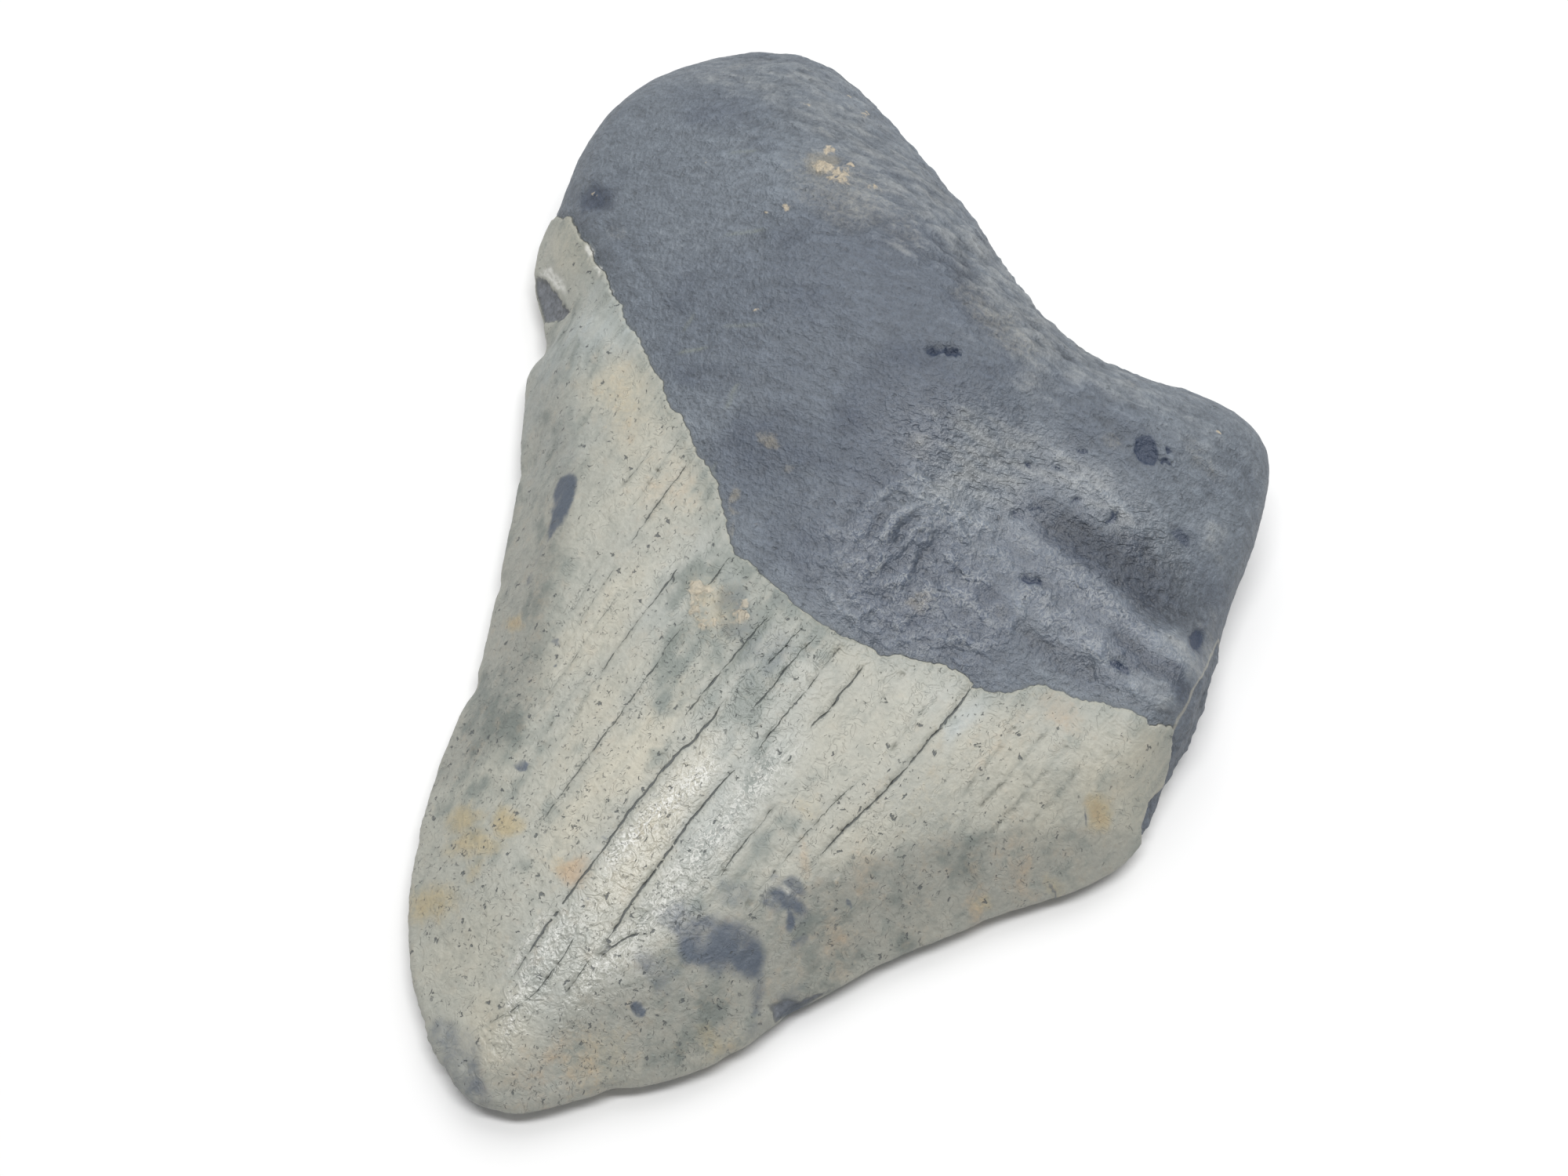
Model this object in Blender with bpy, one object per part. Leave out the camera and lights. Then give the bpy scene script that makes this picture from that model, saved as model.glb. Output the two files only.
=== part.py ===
"""Megalodon tooth: one fossil, lying on its flat outer face with its rounded inner face up.

The tip points along -Y, the two-lobed root lies along +Y and +Z is up.
The outer side of the tooth is a rim curve in space. Loops of edges are extruded inwards from it,
over the inner face to a crest point and under the outer face to a flat resting patch.
"""
import math

import bmesh
import bpy
import numpy as np

MM = 0.001  # every dimension below is in millimetres, and the model is in metres

# The rim, where the tooth is widest: x, y and height, counter-clockwise from the tip.
WORN_TIP = [(5.6, -44.9, 2.4), (8.4, -45.2, 2.4), (11.4, -43.4, 2.4)]
HOLLOW_EDGE = [
    (14.2, -40.0, 2.4), (17.6, -36.6, 2.3), (20.5, -32.4, 2.2), (22.1, -28.3, 2.2), (24.0, -23.5, 2.2),
    (27.0, -17.7, 2.2), (31.0, -11.4, 2.2), (34.4, -6.8, 2.2), (36.4, -3.2, 2.2),
]
BROKEN_SHOULDER = [(36.9, 0.5, 2.2), (36.1, 5.0, 2.2), (35.8, 9.5, 2.4), (34.6, 14.5, 3.0)]
SHORT_LOBE = [
    (33.0, 19.4, 4.2), (31.8, 25.5, 5.5), (30.4, 29.7, 6.5), (28.9, 32.3, 7.3), (26.4, 33.8, 8.0),
    (23.2, 33.7, 8.3), (19.4, 32.7, 8.5),
]
NOTCH = [(15.4, 31.5, 8.8), (11.3, 31.0, 9.0), (7.4, 31.8, 9.0), (3.4, 33.5, 9.0), (-0.5, 35.9, 9.0)]
LONG_LOBE = [
    (-5.5, 38.2, 9.0), (-11.0, 40.4, 9.0), (-16.4, 42.7, 8.8), (-21.0, 44.0, 8.5), (-25.0, 43.8, 8.5),
    (-29.4, 41.9, 8.2), (-32.6, 38.9, 8.0), (-35.0, 34.8, 8.0), (-36.3, 31.0, 7.6), (-36.7, 27.2, 7.0),
    (-36.1, 23.5, 5.6),
]
CHIPPED_SHOULDER = [
    (-35.6, 20.0, 3.6), (-35.1, 17.0, 3.0), (-33.4, 14.2, 2.8), (-30.8, 12.0, 2.8), (-28.7, 9.8, 2.8),
    (-28.1, 6.8, 2.6),
]
CONVEX_EDGE = [
    (-25.6, 2.7, 2.4), (-22.6, -1.3, 2.4), (-20.4, -5.5, 2.3), (-16.9, -12.0, 2.2), (-13.4, -18.8, 2.2),
    (-12.2, -23.5, 2.2), (-9.9, -29.1, 2.3), (-6.5, -35.3, 2.4), (-3.2, -39.4, 2.4), (0.5, -42.2, 2.4),
    (3.2, -44.0, 2.4),
]
RIM = (WORN_TIP + HOLLOW_EDGE + BROKEN_SHOULDER + SHORT_LOBE + NOTCH + LONG_LOBE + CHIPPED_SHOULDER
       + CONVEX_EDGE)

# The inner face well inside the rim, as sections across the tooth: each x with its (y, height) pairs.
SECTIONS = {
    -30.0: [(35.0, 13.5), (28.0, 13.5), (21.0, 11.0), (15.0, 8.5)],
    -20.0: [(37.0, 15.5), (30.0, 17.0), (22.0, 16.0), (15.0, 13.2), (8.0, 10.8), (2.0, 9.0)],
    -8.0: [(32.0, 17.2), (24.0, 18.6), (15.0, 17.6), (8.0, 14.6), (2.0, 12.0), (-6.0, 10.6), (-16.0, 9.2),
           (-25.0, 7.5)],
    5.0: [(28.0, 17.2), (20.0, 17.8), (12.0, 16.2), (5.0, 13.6), (-3.0, 12.0), (-12.0, 10.8), (-22.0, 9.4),
          (-32.0, 7.6), (-40.0, 5.8)],
    18.0: [(28.0, 15.6), (21.0, 14.4), (15.0, 11.9), (11.0, 12.2), (6.0, 11.4), (0.0, 10.6), (-8.0, 9.6),
           (-17.0, 9.0), (-26.0, 7.2)],
    28.0: [(28.0, 13.0), (22.0, 11.4), (16.0, 9.8), (12.0, 10.4), (7.0, 9.8), (1.0, 9.2), (-5.0, 8.4)],
}
SECTION_REACH = 5.5  # how far each of these heights is felt
FAINTEST_WEIGHT = 1e-9

# Where the enamel ends on the inner face, from left to right: x and y.
ENAMEL_END = [
    (-36.0, 20.5), (-27.5, 16.5), (-17.0, 10.5), (-6.5, 4.0), (0.5, -1.0), (5.0, -1.8), (13.0, -1.5),
    (22.0, 1.2), (26.0, 4.3), (35.0, 7.2),
]
OUTER_FACE_LIFT = 6.0  # the enamel reaches this much further towards the root on the outer face
ROOT_BLEND = 9.0  # distance over which the crown's shape turns into the root's

# How far in from the rim each face takes to level out.
CONVEX_BEVEL_WIDTH = 5.5  # along the convex cutting edge
HOLLOW_BEVEL_WIDTH = 7.5  # along the hollow cutting edge
BEVEL_CRISPNESS = 4.0  # how sharply a bevel turns into the flatter middle
BEVEL_CHANGE = (-14.0, 10.0)  # the first width gives way to the second between these x
ROOT_ROUND_WIDTH = 11.0
BREAK_WIDTH = 2.6  # at the steep broken shoulder
BREAK_CENTRE = (36.5, 8.0)
BREAK_REACH = 9.0
BREAK_CRISPNESS = 4.0  # how suddenly the break's steepness ends
CROWN_UNDERSIDE_WIDTH = 5.0
ROOT_UNDERSIDE_WIDTH = 8.5

# The mesh: points around the rim and the loops inside it.
AROUND = 132
STEPS_PER_POINT = 16  # how finely the rim's curve is read before it is spaced evenly
CREST = (0.0, 3.0)
INNER_LOOPS = 16
OUTER_LOOPS = 7
LOOP_CROWDING = 1.6  # over 1 gathers the loops near the rim
LAST_INNER_LOOP = 0.05  # the loop around the crest, its size as a share of the rim's
RESTING_PATCH = 0.6  # the flat patch's size as a share of the rim's

ENAMEL_COLOUR = (0.40, 0.39, 0.34, 1.0)
ENAMEL_ROUGHNESS = 0.42
ROOT_COLOUR = (0.165, 0.19, 0.215, 1.0)
ROOT_ROUGHNESS = 0.55
SHARP_ANGLE = math.radians(50.0)  # edges sharper than this keep a crease in the shading


def clear_scene():
    """Remove every object of the open scene."""
    for old in list(bpy.data.objects):
        bpy.data.objects.remove(old, do_unlink=True)


def smooth_step(value):
    """Ease from 0 to 1 as value goes from 0 to 1."""
    value = np.clip(value, 0.0, 1.0)
    return value * value * (3.0 - 2.0 * value)


def closed_curve(points, count):
    """Sample a smooth closed curve through the points at count equal steps along it."""
    points = np.array(points)
    before, after, beyond = (np.roll(points, -shift, axis=0) for shift in (-1, 1, 2))
    steps = np.linspace(0.0, 1.0, STEPS_PER_POINT, endpoint=False)[:, None, None]
    curve = 0.5 * (
        2.0 * points
        + (after - before) * steps
        + (2.0 * before - 5.0 * points + 4.0 * after - beyond) * steps**2
        + (3.0 * points - before - 3.0 * after + beyond) * steps**3
    )
    curve = np.swapaxes(curve, 0, 1).reshape(-1, 3)
    closed = np.vstack([curve, curve[:1]])
    length = np.concatenate([[0.0], np.cumsum(np.linalg.norm(np.diff(closed, axis=0), axis=1))])
    wanted = np.linspace(0.0, length[-1], count, endpoint=False)
    return np.stack([np.interp(wanted, length, closed[:, axis]) for axis in range(3)], axis=1)


def distance_to_rim(place, rim):
    """Plan distance from each place to the rim's polygon."""
    start = rim[None, :, :2]
    side = np.roll(rim, -1, axis=0)[None, :, :2] - start
    offset = place[:, None, :] - start
    along = np.clip((offset * side).sum(2) / (side * side).sum(2), 0.0, 1.0)
    return np.linalg.norm(offset - along[..., None] * side, axis=2).min(1)


def level_height(place):
    """Height of the inner face away from the rim, blended from the sections."""
    spots = np.array([(x, y, height) for x, section in SECTIONS.items() for y, height in section])
    reach = np.linalg.norm(place[:, None, :] - spots[None, :, :2], axis=2) / SECTION_REACH
    weight = np.exp(-0.5 * reach**2) + FAINTEST_WEIGHT
    return (weight * spots[:, 2]).sum(1) / weight.sum(1)


def enamel_end(x):
    """The y at which the inner face's enamel ends, for each x."""
    line = np.array(ENAMEL_END)
    return np.interp(x, line[:, 0], line[:, 1])


def root_share(place, lift=0.0):
    """0 on the crown, 1 on the root, easing across the end of the enamel."""
    beyond = place[:, 1] - enamel_end(place[:, 0]) - lift
    return smooth_step(beyond / ROOT_BLEND + 0.5)


def inner_height(place, rim, rim_height):
    """Height of the inner, upper face at each place."""
    share = root_share(place)
    hollow_side = smooth_step((place[:, 0] - BEVEL_CHANGE[0]) / (BEVEL_CHANGE[1] - BEVEL_CHANGE[0]))
    width = CONVEX_BEVEL_WIDTH + (HOLLOW_BEVEL_WIDTH - CONVEX_BEVEL_WIDTH) * hollow_side
    width += (ROOT_ROUND_WIDTH - width) * share
    from_break = np.linalg.norm(place - np.array(BREAK_CENTRE), axis=1) / BREAK_REACH
    broken = np.exp(-(from_break**BREAK_CRISPNESS))
    width += (BREAK_WIDTH - width) * broken
    inside = distance_to_rim(place, rim) / width
    bevelled = inside / (1.0 + inside**BEVEL_CRISPNESS) ** (1.0 / BEVEL_CRISPNESS)
    rounded = np.sqrt(1.0 - (1.0 - np.clip(inside, 0.0, 1.0)) ** 2)
    rise = bevelled + (rounded - bevelled) * share
    return rim_height + (level_height(place) - rim_height) * rise


def outer_height(place, rim, rim_height):
    """Height of the outer, lower face at each place: zero from a little way inside the rim."""
    share = root_share(place)
    width = CROWN_UNDERSIDE_WIDTH + (ROOT_UNDERSIDE_WIDTH - CROWN_UNDERSIDE_WIDTH) * share
    inside = np.clip(distance_to_rim(place, rim) / width, 0.0, 1.0)
    return rim_height * (1.0 - np.sqrt(1.0 - (1.0 - inside) ** 2))


def loop_sizes(count, smallest):
    """Each loop's size as a share of the rim's, closer together near the rim."""
    steps = np.arange(1, count + 1) / count
    return 1.0 - (1.0 - smallest) * steps**LOOP_CROWDING


def shrink(rim, size):
    """Draw the rim in towards the crest to the given share of its size."""
    crest = np.array(CREST)
    return crest + (rim[:, :2] - crest) * size


def extrude_loops(mesh, loop, rim, sizes, height_at):
    """Extrude a loop of edges inwards once per size, setting each new loop's height. Returns the last."""
    number = mesh.verts.layers.int["rim_number"]
    for size in sizes:
        new = bmesh.ops.extrude_edge_only(mesh, edges=loop)["geom"]
        place = shrink(rim, size)
        height = height_at(place, rim, rim[:, 2])
        for vert in (item for item in new if isinstance(item, bmesh.types.BMVert)):
            spot = vert[number]
            vert.co = (place[spot, 0] * MM, place[spot, 1] * MM, height[spot] * MM)
        loop = [item for item in new if isinstance(item, bmesh.types.BMEdge)
                and abs(item.verts[0][number] - item.verts[1][number]) in (1, AROUND - 1)]
    return loop


def close_to_crest(mesh, loop):
    """Collapse a fan of triangles from the last inner loop to the crest point."""
    crest = np.array([CREST])
    centre = mesh.verts.new((CREST[0] * MM, CREST[1] * MM, level_height(crest)[0] * MM))
    for edge in loop:
        mesh.faces.new((edge.verts[0], edge.verts[1], centre))


def build_tooth_mesh():
    """The whole closed surface, in metres, before it is centred."""
    rim = closed_curve(RIM, AROUND)
    mesh = bmesh.new()
    number = mesh.verts.layers.int.new("rim_number")
    for index, (x, y, z) in enumerate(rim):
        mesh.verts.new((x * MM, y * MM, z * MM))[number] = index
    mesh.verts.ensure_lookup_table()
    loop = [mesh.edges.new((mesh.verts[index - 1], mesh.verts[index])) for index in range(AROUND)]
    inner = extrude_loops(mesh, loop, rim, loop_sizes(INNER_LOOPS, LAST_INNER_LOOP), inner_height)
    close_to_crest(mesh, inner)
    outer = extrude_loops(mesh, loop, rim, loop_sizes(OUTER_LOOPS, RESTING_PATCH), outer_height)
    bmesh.ops.contextual_create(mesh, geom=outer)
    bmesh.ops.recalc_face_normals(mesh, faces=mesh.faces)
    return mesh


def centre_on_ground(mesh):
    """Put the origin at the middle of the tooth's box, on the ground. Returns how far it was from there."""
    places = np.array([vert.co for vert in mesh.verts])
    low, high = places.min(0), places.max(0)
    middle = (low + high) / 2.0
    bmesh.ops.translate(mesh, verts=mesh.verts, vec=(-middle[0], -middle[1], -low[2]))
    return middle


def principled(name, colour, roughness):
    """A plain opaque material."""
    material = bpy.data.materials.new(name)
    material.use_nodes = True
    shader = material.node_tree.nodes["Principled BSDF"]
    shader.inputs["Base Color"].default_value = colour
    shader.inputs["Roughness"].default_value = roughness
    shader.inputs["Metallic"].default_value = 0.0
    material.diffuse_color = colour
    return material


def paint_enamel(mesh, middle):
    """Give the crown's faces the second material. The enamel's end is drawn before the centring."""
    for face in mesh.faces:
        centre = face.calc_center_median()
        lift = 0.0 if face.normal.z > 0.0 else OUTER_FACE_LIFT
        x = (centre.x + middle[0]) / MM
        y = (centre.y + middle[1]) / MM
        face.material_index = int(y < enamel_end(x) + lift)


def make_tooth():
    """The tooth as one object."""
    mesh = build_tooth_mesh()
    middle = centre_on_ground(mesh)
    paint_enamel(mesh, middle)
    data = bpy.data.meshes.new("tooth")
    mesh.to_mesh(data)
    mesh.free()
    data.materials.append(principled("root_dentine", ROOT_COLOUR, ROOT_ROUGHNESS))
    data.materials.append(principled("crown_enamel", ENAMEL_COLOUR, ENAMEL_ROUGHNESS))
    data.shade_smooth()
    data.set_sharp_from_angle(angle=SHARP_ANGLE)
    tooth = bpy.data.objects.new("tooth", data)
    bpy.context.scene.collection.objects.link(tooth)
    return tooth


clear_scene()
make_tooth()
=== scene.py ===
"""Finish and stage for a fossil megalodon tooth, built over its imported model.

Lengths in the feature lists are millimetres in the tooth's own frame: +Y from the tip to the root, +Z up.
"""
import functools
import math

import bpy
import numpy as np
from bpy.props import FloatProperty, FloatVectorProperty, PointerProperty
from mathutils import Matrix, Vector, noise
from mathutils.bvhtree import BVHTree


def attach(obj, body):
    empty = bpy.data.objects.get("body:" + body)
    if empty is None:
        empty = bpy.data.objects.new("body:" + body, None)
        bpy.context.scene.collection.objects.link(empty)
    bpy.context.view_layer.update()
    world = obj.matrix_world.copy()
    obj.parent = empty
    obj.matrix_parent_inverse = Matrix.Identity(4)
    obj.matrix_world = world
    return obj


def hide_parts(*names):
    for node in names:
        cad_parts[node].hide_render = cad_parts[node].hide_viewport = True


bl_info = {
    "name": "Fossil megalodon tooth",
    "version": (1, 0, 0),
    "blender": (4, 5, 0),
    "location": "3D View > Sidebar > Tooth",
    "description": "Builds the worn surface and the finish of a fossil megalodon tooth, and its stage",
    "category": "Object",
}

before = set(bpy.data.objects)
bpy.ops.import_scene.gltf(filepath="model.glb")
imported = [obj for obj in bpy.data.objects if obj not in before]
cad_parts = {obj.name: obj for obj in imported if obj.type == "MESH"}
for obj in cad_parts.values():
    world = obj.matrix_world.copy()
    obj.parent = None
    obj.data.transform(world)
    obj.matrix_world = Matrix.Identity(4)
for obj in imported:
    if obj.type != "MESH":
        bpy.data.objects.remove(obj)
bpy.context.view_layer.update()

MM = 0.001
NODE = "tooth"
MOST_TRIANGLES = 195000
SOFTENINGS = 50  # rounds of smoothing that take the solid's flat faces away
SWELL_SMOOTHINGS = 30  # rounds of smoothing of the push that makes good what they took
LYING_FACE = -0.8  # how steeply down a normal points on the face that the tooth lies on
DARKEST_PIT = 0.35  # millimetres deep
FINE_PIT_DEPTH = 0.05
ENAMEL_DENT_DEPTH = 0.07
FULL_RELIEF_SHADING = 0.25  # the relief in millimetres at which the painted shade in hollows and the painted light on crests are full
HAIR = 0.13  # half width of the thinnest drawn lines, in millimetres

FOSSIL_IOR = 1.6
# Roughness where the surface is matt and where it is polished.
ENAMEL_ROUGHNESS = (0.60, 0.20)
ROOT_ROUGHNESS = (0.56, 0.22)
DIRT_ROUGHNESS = 0.75  # in cracks and specks
CORE_ROUGHNESS = 0.60  # on the bare core and the crust
# Heights of the material's fine relief in millimetres, where the surface is matt and where it is polished.
ENAMEL_CURL = (0.07, 0.20)
ENAMEL_FINE = (0.06, 0.10)
ROOT_CURL = (0.12, 0.08)
ROOT_FINE = (0.22, 0.11)
ROOT_GRAIN = (0.10, 0.26)  # where the root is plain and where it is grained
# Other heights and depths of it in millimetres.
GLINT_HEIGHT = 0.02
ROOT_FOLD_HEIGHT = 0.28
SPECK_DEPTH = 0.07
HAIRLINE_DEPTH = 0.10
SQUIGGLE_DEPTH = 0.02
ROOT_DENT_DEPTH = 0.09
ROOT_SPECK_DEPTH = 0.06
# The two sizes of dark specks.
SPECKS = {"Specks per mm": 0.95, "Radius in mm": 0.115}
DUST = {"Specks per mm": 2.6, "Radius in mm": 0.060}

FLOOR_HALF_WIDTH = 1.5
SENSOR_WIDTH = 36.0
LOOK_AT = (0.98 * MM, 3.87 * MM, 0.0)  # the point that the camera and the lights face
STRIP_SIDEWAYS = (0.83, 0.55, 0.0)  # along the strip light above

# ---------------------------------------------------------------- where the features lie

# Where the enamel ends on the rounded inner face, from the chipped shoulder to the broken one.
INNER_ENAMEL_END = [
    (-38, 21), (-35.3, 20.2), (-33.1, 19.7), (-30.7, 18.2), (-28.7, 17.2), (-27.2, 16.2), (-25.2, 15.2),
    (-23.4, 13.8), (-22, 13.1), (-20.6, 11.8), (-18.4, 10.9), (-16.4, 9.4), (-14.9, 8.6), (-13.4, 7.7),
    (-12, 6.4), (-10.5, 6.2), (-9, 5.1), (-7.5, 4.2), (-6, 3.6), (-4.6, 2.8), (-3.3, 1.6), (-2, 0.5),
    (-1, -0.6), (0, -1.2), (1.5, -1.2), (3, -1.5), (5, -1.8), (6.5, -2.2), (9, -2), (12, -1.6),
    (13.5, -1.3), (14.5, -0.6), (16, 0), (18, 0.9), (20, 1.1), (20.6, 0.8), (22, 1.3), (23.2, 2.1),
    (24, 3.5), (24.8, 4.1), (26, 4.5), (27.2, 4.6), (28.5, 5.2), (30, 5.7), (31, 6.2), (33, 6.3),
    (34.3, 7.6), (38, 7.4),
]
# On the flat outer face it is a shallow sagging line between the same two shoulders.
OUTER_END_LEFT = 20.6  # its y at OUTER_END_X to the left and to the right
OUTER_END_RIGHT = 7.4
OUTER_END_X = 36.0
OUTER_END_SAG = 5.0

# The top edge of the broken shoulder: all beyond it in x is bare, dark tooth core.
BREAK_EDGE = [
    (38.5, -2), (36.9, 0.2), (36.1, 1.4), (35.6, 2.9), (35.7, 4), (35.9, 5), (35.6, 6), (35.1, 6.8),
    (34.5, 7.5), (34.4, 10), (34, 14), (33.4, 17.5), (34.7, 20), (38.5, 21),
]

# The worn facets beside the two cutting edges, where the enamel is greyer and darker, partly as painted
# shade:
# amount, softness of the border, then the outline.
FACETS = [
    (1, 0.5, [(37.5, 0.6), (35.5, 0.4), (32.6, -2.1), (29, -5.5), (26.4, -7.9), (24, -10.4), (21.7, -13.4),
              (20.1, -15.9), (18.6, -18), (17.8, -20.5), (18.4, -24), (22, -30), (28, -26), (40, -8)]),
    (0.9, 1.5, [(19.4, -18.6), (15.8, -21.6), (14, -25), (13, -28.6), (11.8, -32), (10.6, -35.2),
                (8.8, -39.4), (6, -44), (14, -47), (22, -36), (28, -24)]),
    (0.85, 1, [(-40, 14), (-29, 11), (-24.2, 6.8), (-19.4, 2.4), (-16.6, 0.4), (-15.1, -2.3), (-12.4, -7.4),
               (-10.1, -11.8), (-7.9, -15), (-6.2, -18.2), (-5.6, -21.5), (-7.6, -24.6), (-11, -29),
               (-20, -26)]),
]

# Lengthwise cracks in the enamel: strength from 0 to 1, then the line from the root end to the tip end.
CRACKS = [
    (1, [(6.1, -10.5), (6.1, -13), (6, -15), (5.6, -16), (5.4, -18), (5.2, -22), (5.2, -26), (5.1, -31),
         (5, -37.5)]),
    (1, [(9.8, -14.5), (9.5, -16.5), (9.3, -20), (9.3, -24), (9.2, -27), (9.3, -29), (9.3, -31.8)]),
    (0.97, [(11.6, -28.2), (11, -28.6), (10.3, -29.4), (9.9, -30.5), (9.4, -32)]),
    (0.9, [(10.6, -7), (10.4, -10), (10.3, -13.6)]),
    (0.95, [(13.1, -2.8), (12.9, -5), (12.8, -7), (12.5, -9.6)]),
    (0.88, [(13.7, -15.3), (13.6, -17), (13.3, -20), (13.4, -22.5)]),
    (0.96, [(20.6, 1.2), (20.4, -2), (20.2, -4.5), (19.9, -8), (19.4, -11), (18.8, -14), (18.2, -17.5)]),
    (0.86, [(17.8, -9.6), (17.2, -12), (16.9, -14), (16.6, -17), (16.3, -20), (15.9, -22.6)]),
    (0.9, [(-0.1, -7.5), (-0.1, -10), (0.1, -12), (0, -14), (0.1, -16), (0, -20), (0, -27)]),
    (0.9, [(-3.2, -4), (-3.2, -7), (-3.4, -10), (-3.4, -12), (-3.2, -15.6)]),
    (0.92, [(-7.8, 3.4), (-7.7, 1.5), (-7.8, 0), (-7.8, -3), (-7.7, -4.8)]),
    (0.93, [(5.1, -3.4), (4.8, -6), (4.6, -8), (4.5, -10), (4.4, -12), (4.3, -14.6)]),
    (0.91, [(8.9, -2.6), (8.6, -5), (8.4, -7), (8.4, -9), (8.2, -11)]),
    (0.89, [(7.7, -3), (7.4, -5), (7.1, -7.4)]),
    (0.9, [(-0.2, -1.4), (-0.3, -4.6)]),
    (0.87, [(10.8, -2.2), (10.7, -5), (10.6, -7.4)]),
    (0.88, [(7.2, -31), (7.4, -33), (7.2, -36), (6.4, -38.2), (5.1, -40.2)]),
    (0.86, [(9.1, -32), (9, -35)]),
    (0.84, [(-9.5, 4.8), (-9.4, -2.4)]),
    (0.84, [(-11, 3.2), (-11.1, -1.2)]),
    (0.83, [(-8.8, -6.5), (-8.3, -11.2)]),
    (0.83, [(-7.6, -6.5), (-7.3, -12)]),
    (0.83, [(-6, -8), (-5.8, -19)]),
    (0.79, [(-3.2, -15.6), (-2.8, -18), (-2.7, -21.6)]),
    (0.83, [(-4.2, -14), (-4.1, -21.5)]),
    (0.76, [(24.9, 2.4), (24.4, -6.4)]),
    (0.77, [(26.9, 1.4), (26.4, -3), (25.8, -6.6)]),
    (0.77, [(28.8, 1.6), (28.3, -2), (27.4, -7.2)]),
    (0.75, [(30.4, 0.4), (29.4, -4.6)]),
    (0.79, [(15.8, -1), (15.4, -6.4)]),
    (0.79, [(18.6, -2.6), (18.2, -7.6)]),
]
FAINTEST_CRACK = 0.70  # the strength at which a crack starts to cut in
CRACK_REACH = 0.5  # a crack's mark fades to nothing this far from its line
CRACK_PULL = 0.16  # points nearer to the line than this are pulled onto it

# Chips that bare the dark core: depth, softness of the rim, then the corners.
CHIPS = [
    (0.45, 0.25, [(-34.5, 15.4), (-32.2, 14.8), (-30.6, 14), (-29.3, 13.6), (-28.4, 13), (-27.2, 12.4),
                  (-28, 11.9), (-30, 12), (-35, 12.2)]),
    (0.28, 0.35, [(21, -26.6), (21.7, -25.4), (22.6, -25), (23, -24), (24, -22.7), (24.5, -23.2),
                  (23.8, -24.6), (23.1, -26.2), (22.2, -27)]),
]
# Fresh, pale broken edges: strength, half width, then the line.
BRIGHT_EDGES = [
    (0.9, HAIR, [(-33.4, 15.8), (-31.6, 15.4), (-30.2, 14.8), (-28.9, 14.3)]),
    (1, HAIR, [(-33.6, 15.5), (-31.8, 15.1), (-30.4, 14.5), (-29.1, 14.1), (-28.1, 13.4)]),
    (0.9, HAIR, [(-29, 17.6), (-28.4, 17), (-27.9, 16.2)]),
    (0.8, HAIR, [(-27, 15.7), (-26.4, 15.6), (-25.6, 15)]),
    (0.5, HAIR, [(16.9, -20), (17.9, -19.6), (18.9, -19.5)]),
    (0.5, HAIR, [(-24.4, 14.2), (-23.6, 13.8)]),
]

# Bands along the cracks with painted highlights, bright squiggles where the polish glints, also raised a
# little: strength, half width, then the line.
GLINTS = [
    (0.8, 1.1, [(13.4, -8.8), (12.4, -11), (11.7, -14.8), (11.4, -19.2), (11, -23.2), (10.8, -27),
                (10.7, -28.7), (10.3, -31.3), (9.6, -33.6), (9, -36.4)]),
    (1, 0.8, [(8.6, -14), (8.1, -16.3), (7.6, -18.1), (7.2, -20), (6.4, -23.1), (5.9, -27.4)]),
    (0.9, 0.5, [(6.3, -29.4), (5.9, -32.9), (5.9, -35), (6.2, -37.2), (6.7, -38.4), (7.2, -40.4)]),
    (0.7, 0.35, [(4.6, -30.6), (4.6, -34.1), (5, -36.4)]),
]

# The larger dark stains, on the left facet and beside the tip facet: strength, softness of the border, then
# the corners.
LARGE_STAINS = [
    (1.1, 0.45, [(-16.9, -1.9), (-16, -1.3), (-15.2, -1.7), (-14.5, -2.9), (-13.9, -4.4), (-13.7, -6.2),
                 (-13.9, -7.4), (-14.4, -6.4), (-15.4, -5), (-16.5, -3.3)]),
    (0.94, 0.9, [(12, -26.8), (13.2, -25.2), (15.2, -23.6), (17.2, -23.2), (18.8, -23.9), (19.8, -25.3),
                 (19.2, -26.3), (17.8, -26.4), (16.2, -27.6), (14.2, -28.2)]),
    (1, 0.9, [(15.4, -25.8), (16.4, -23.9), (18.4, -24.1), (19.7, -25.6), (18.6, -26.2), (17, -26.6)]),
    (0.86, 1, [(13.2, -27.2), (14.6, -25.6), (17.6, -25.6), (18.4, -26.4), (16.6, -27.8), (14.8, -28.4)]),
    (0.7, 0.7, [(18.6, -25), (20, -25.2), (21, -27.4), (20.3, -28), (19.4, -26.9)]),
]

# Every oval mark below: x, y, half length, half width, the degrees that its length turns from +X unless that
# is 0, and last its strength.
# Dark mineral stains.
DARK_STAINS = [
    (-13.9, -8.3, 1.3, 0.16, -88, 0.55), (-13.6, -10, 0.7, 0.3, -70, 0.75), (-4, -23.2, 0.55, 0.5, 0.95),
    (13.8, -32.7, 0.62, 0.55, 0.95), (6.4, -28.8, 0.45, 0.16, 25, 0.9), (4.8, -24.4, 0.4, 0.25, 10, 0.7),
    (21.8, -17.4, 0.4, 0.25, 0.8), (-7.9, -13.9, 0.4, 0.35, 0.7), (-6.8, -15.5, 0.2, 0.2, 0.9),
    (32.6, -1.7, 0.6, 0.14, -50, 0.8), (33.2, -6.8, 0.55, 0.2, -20, 0.7),
]
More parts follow.
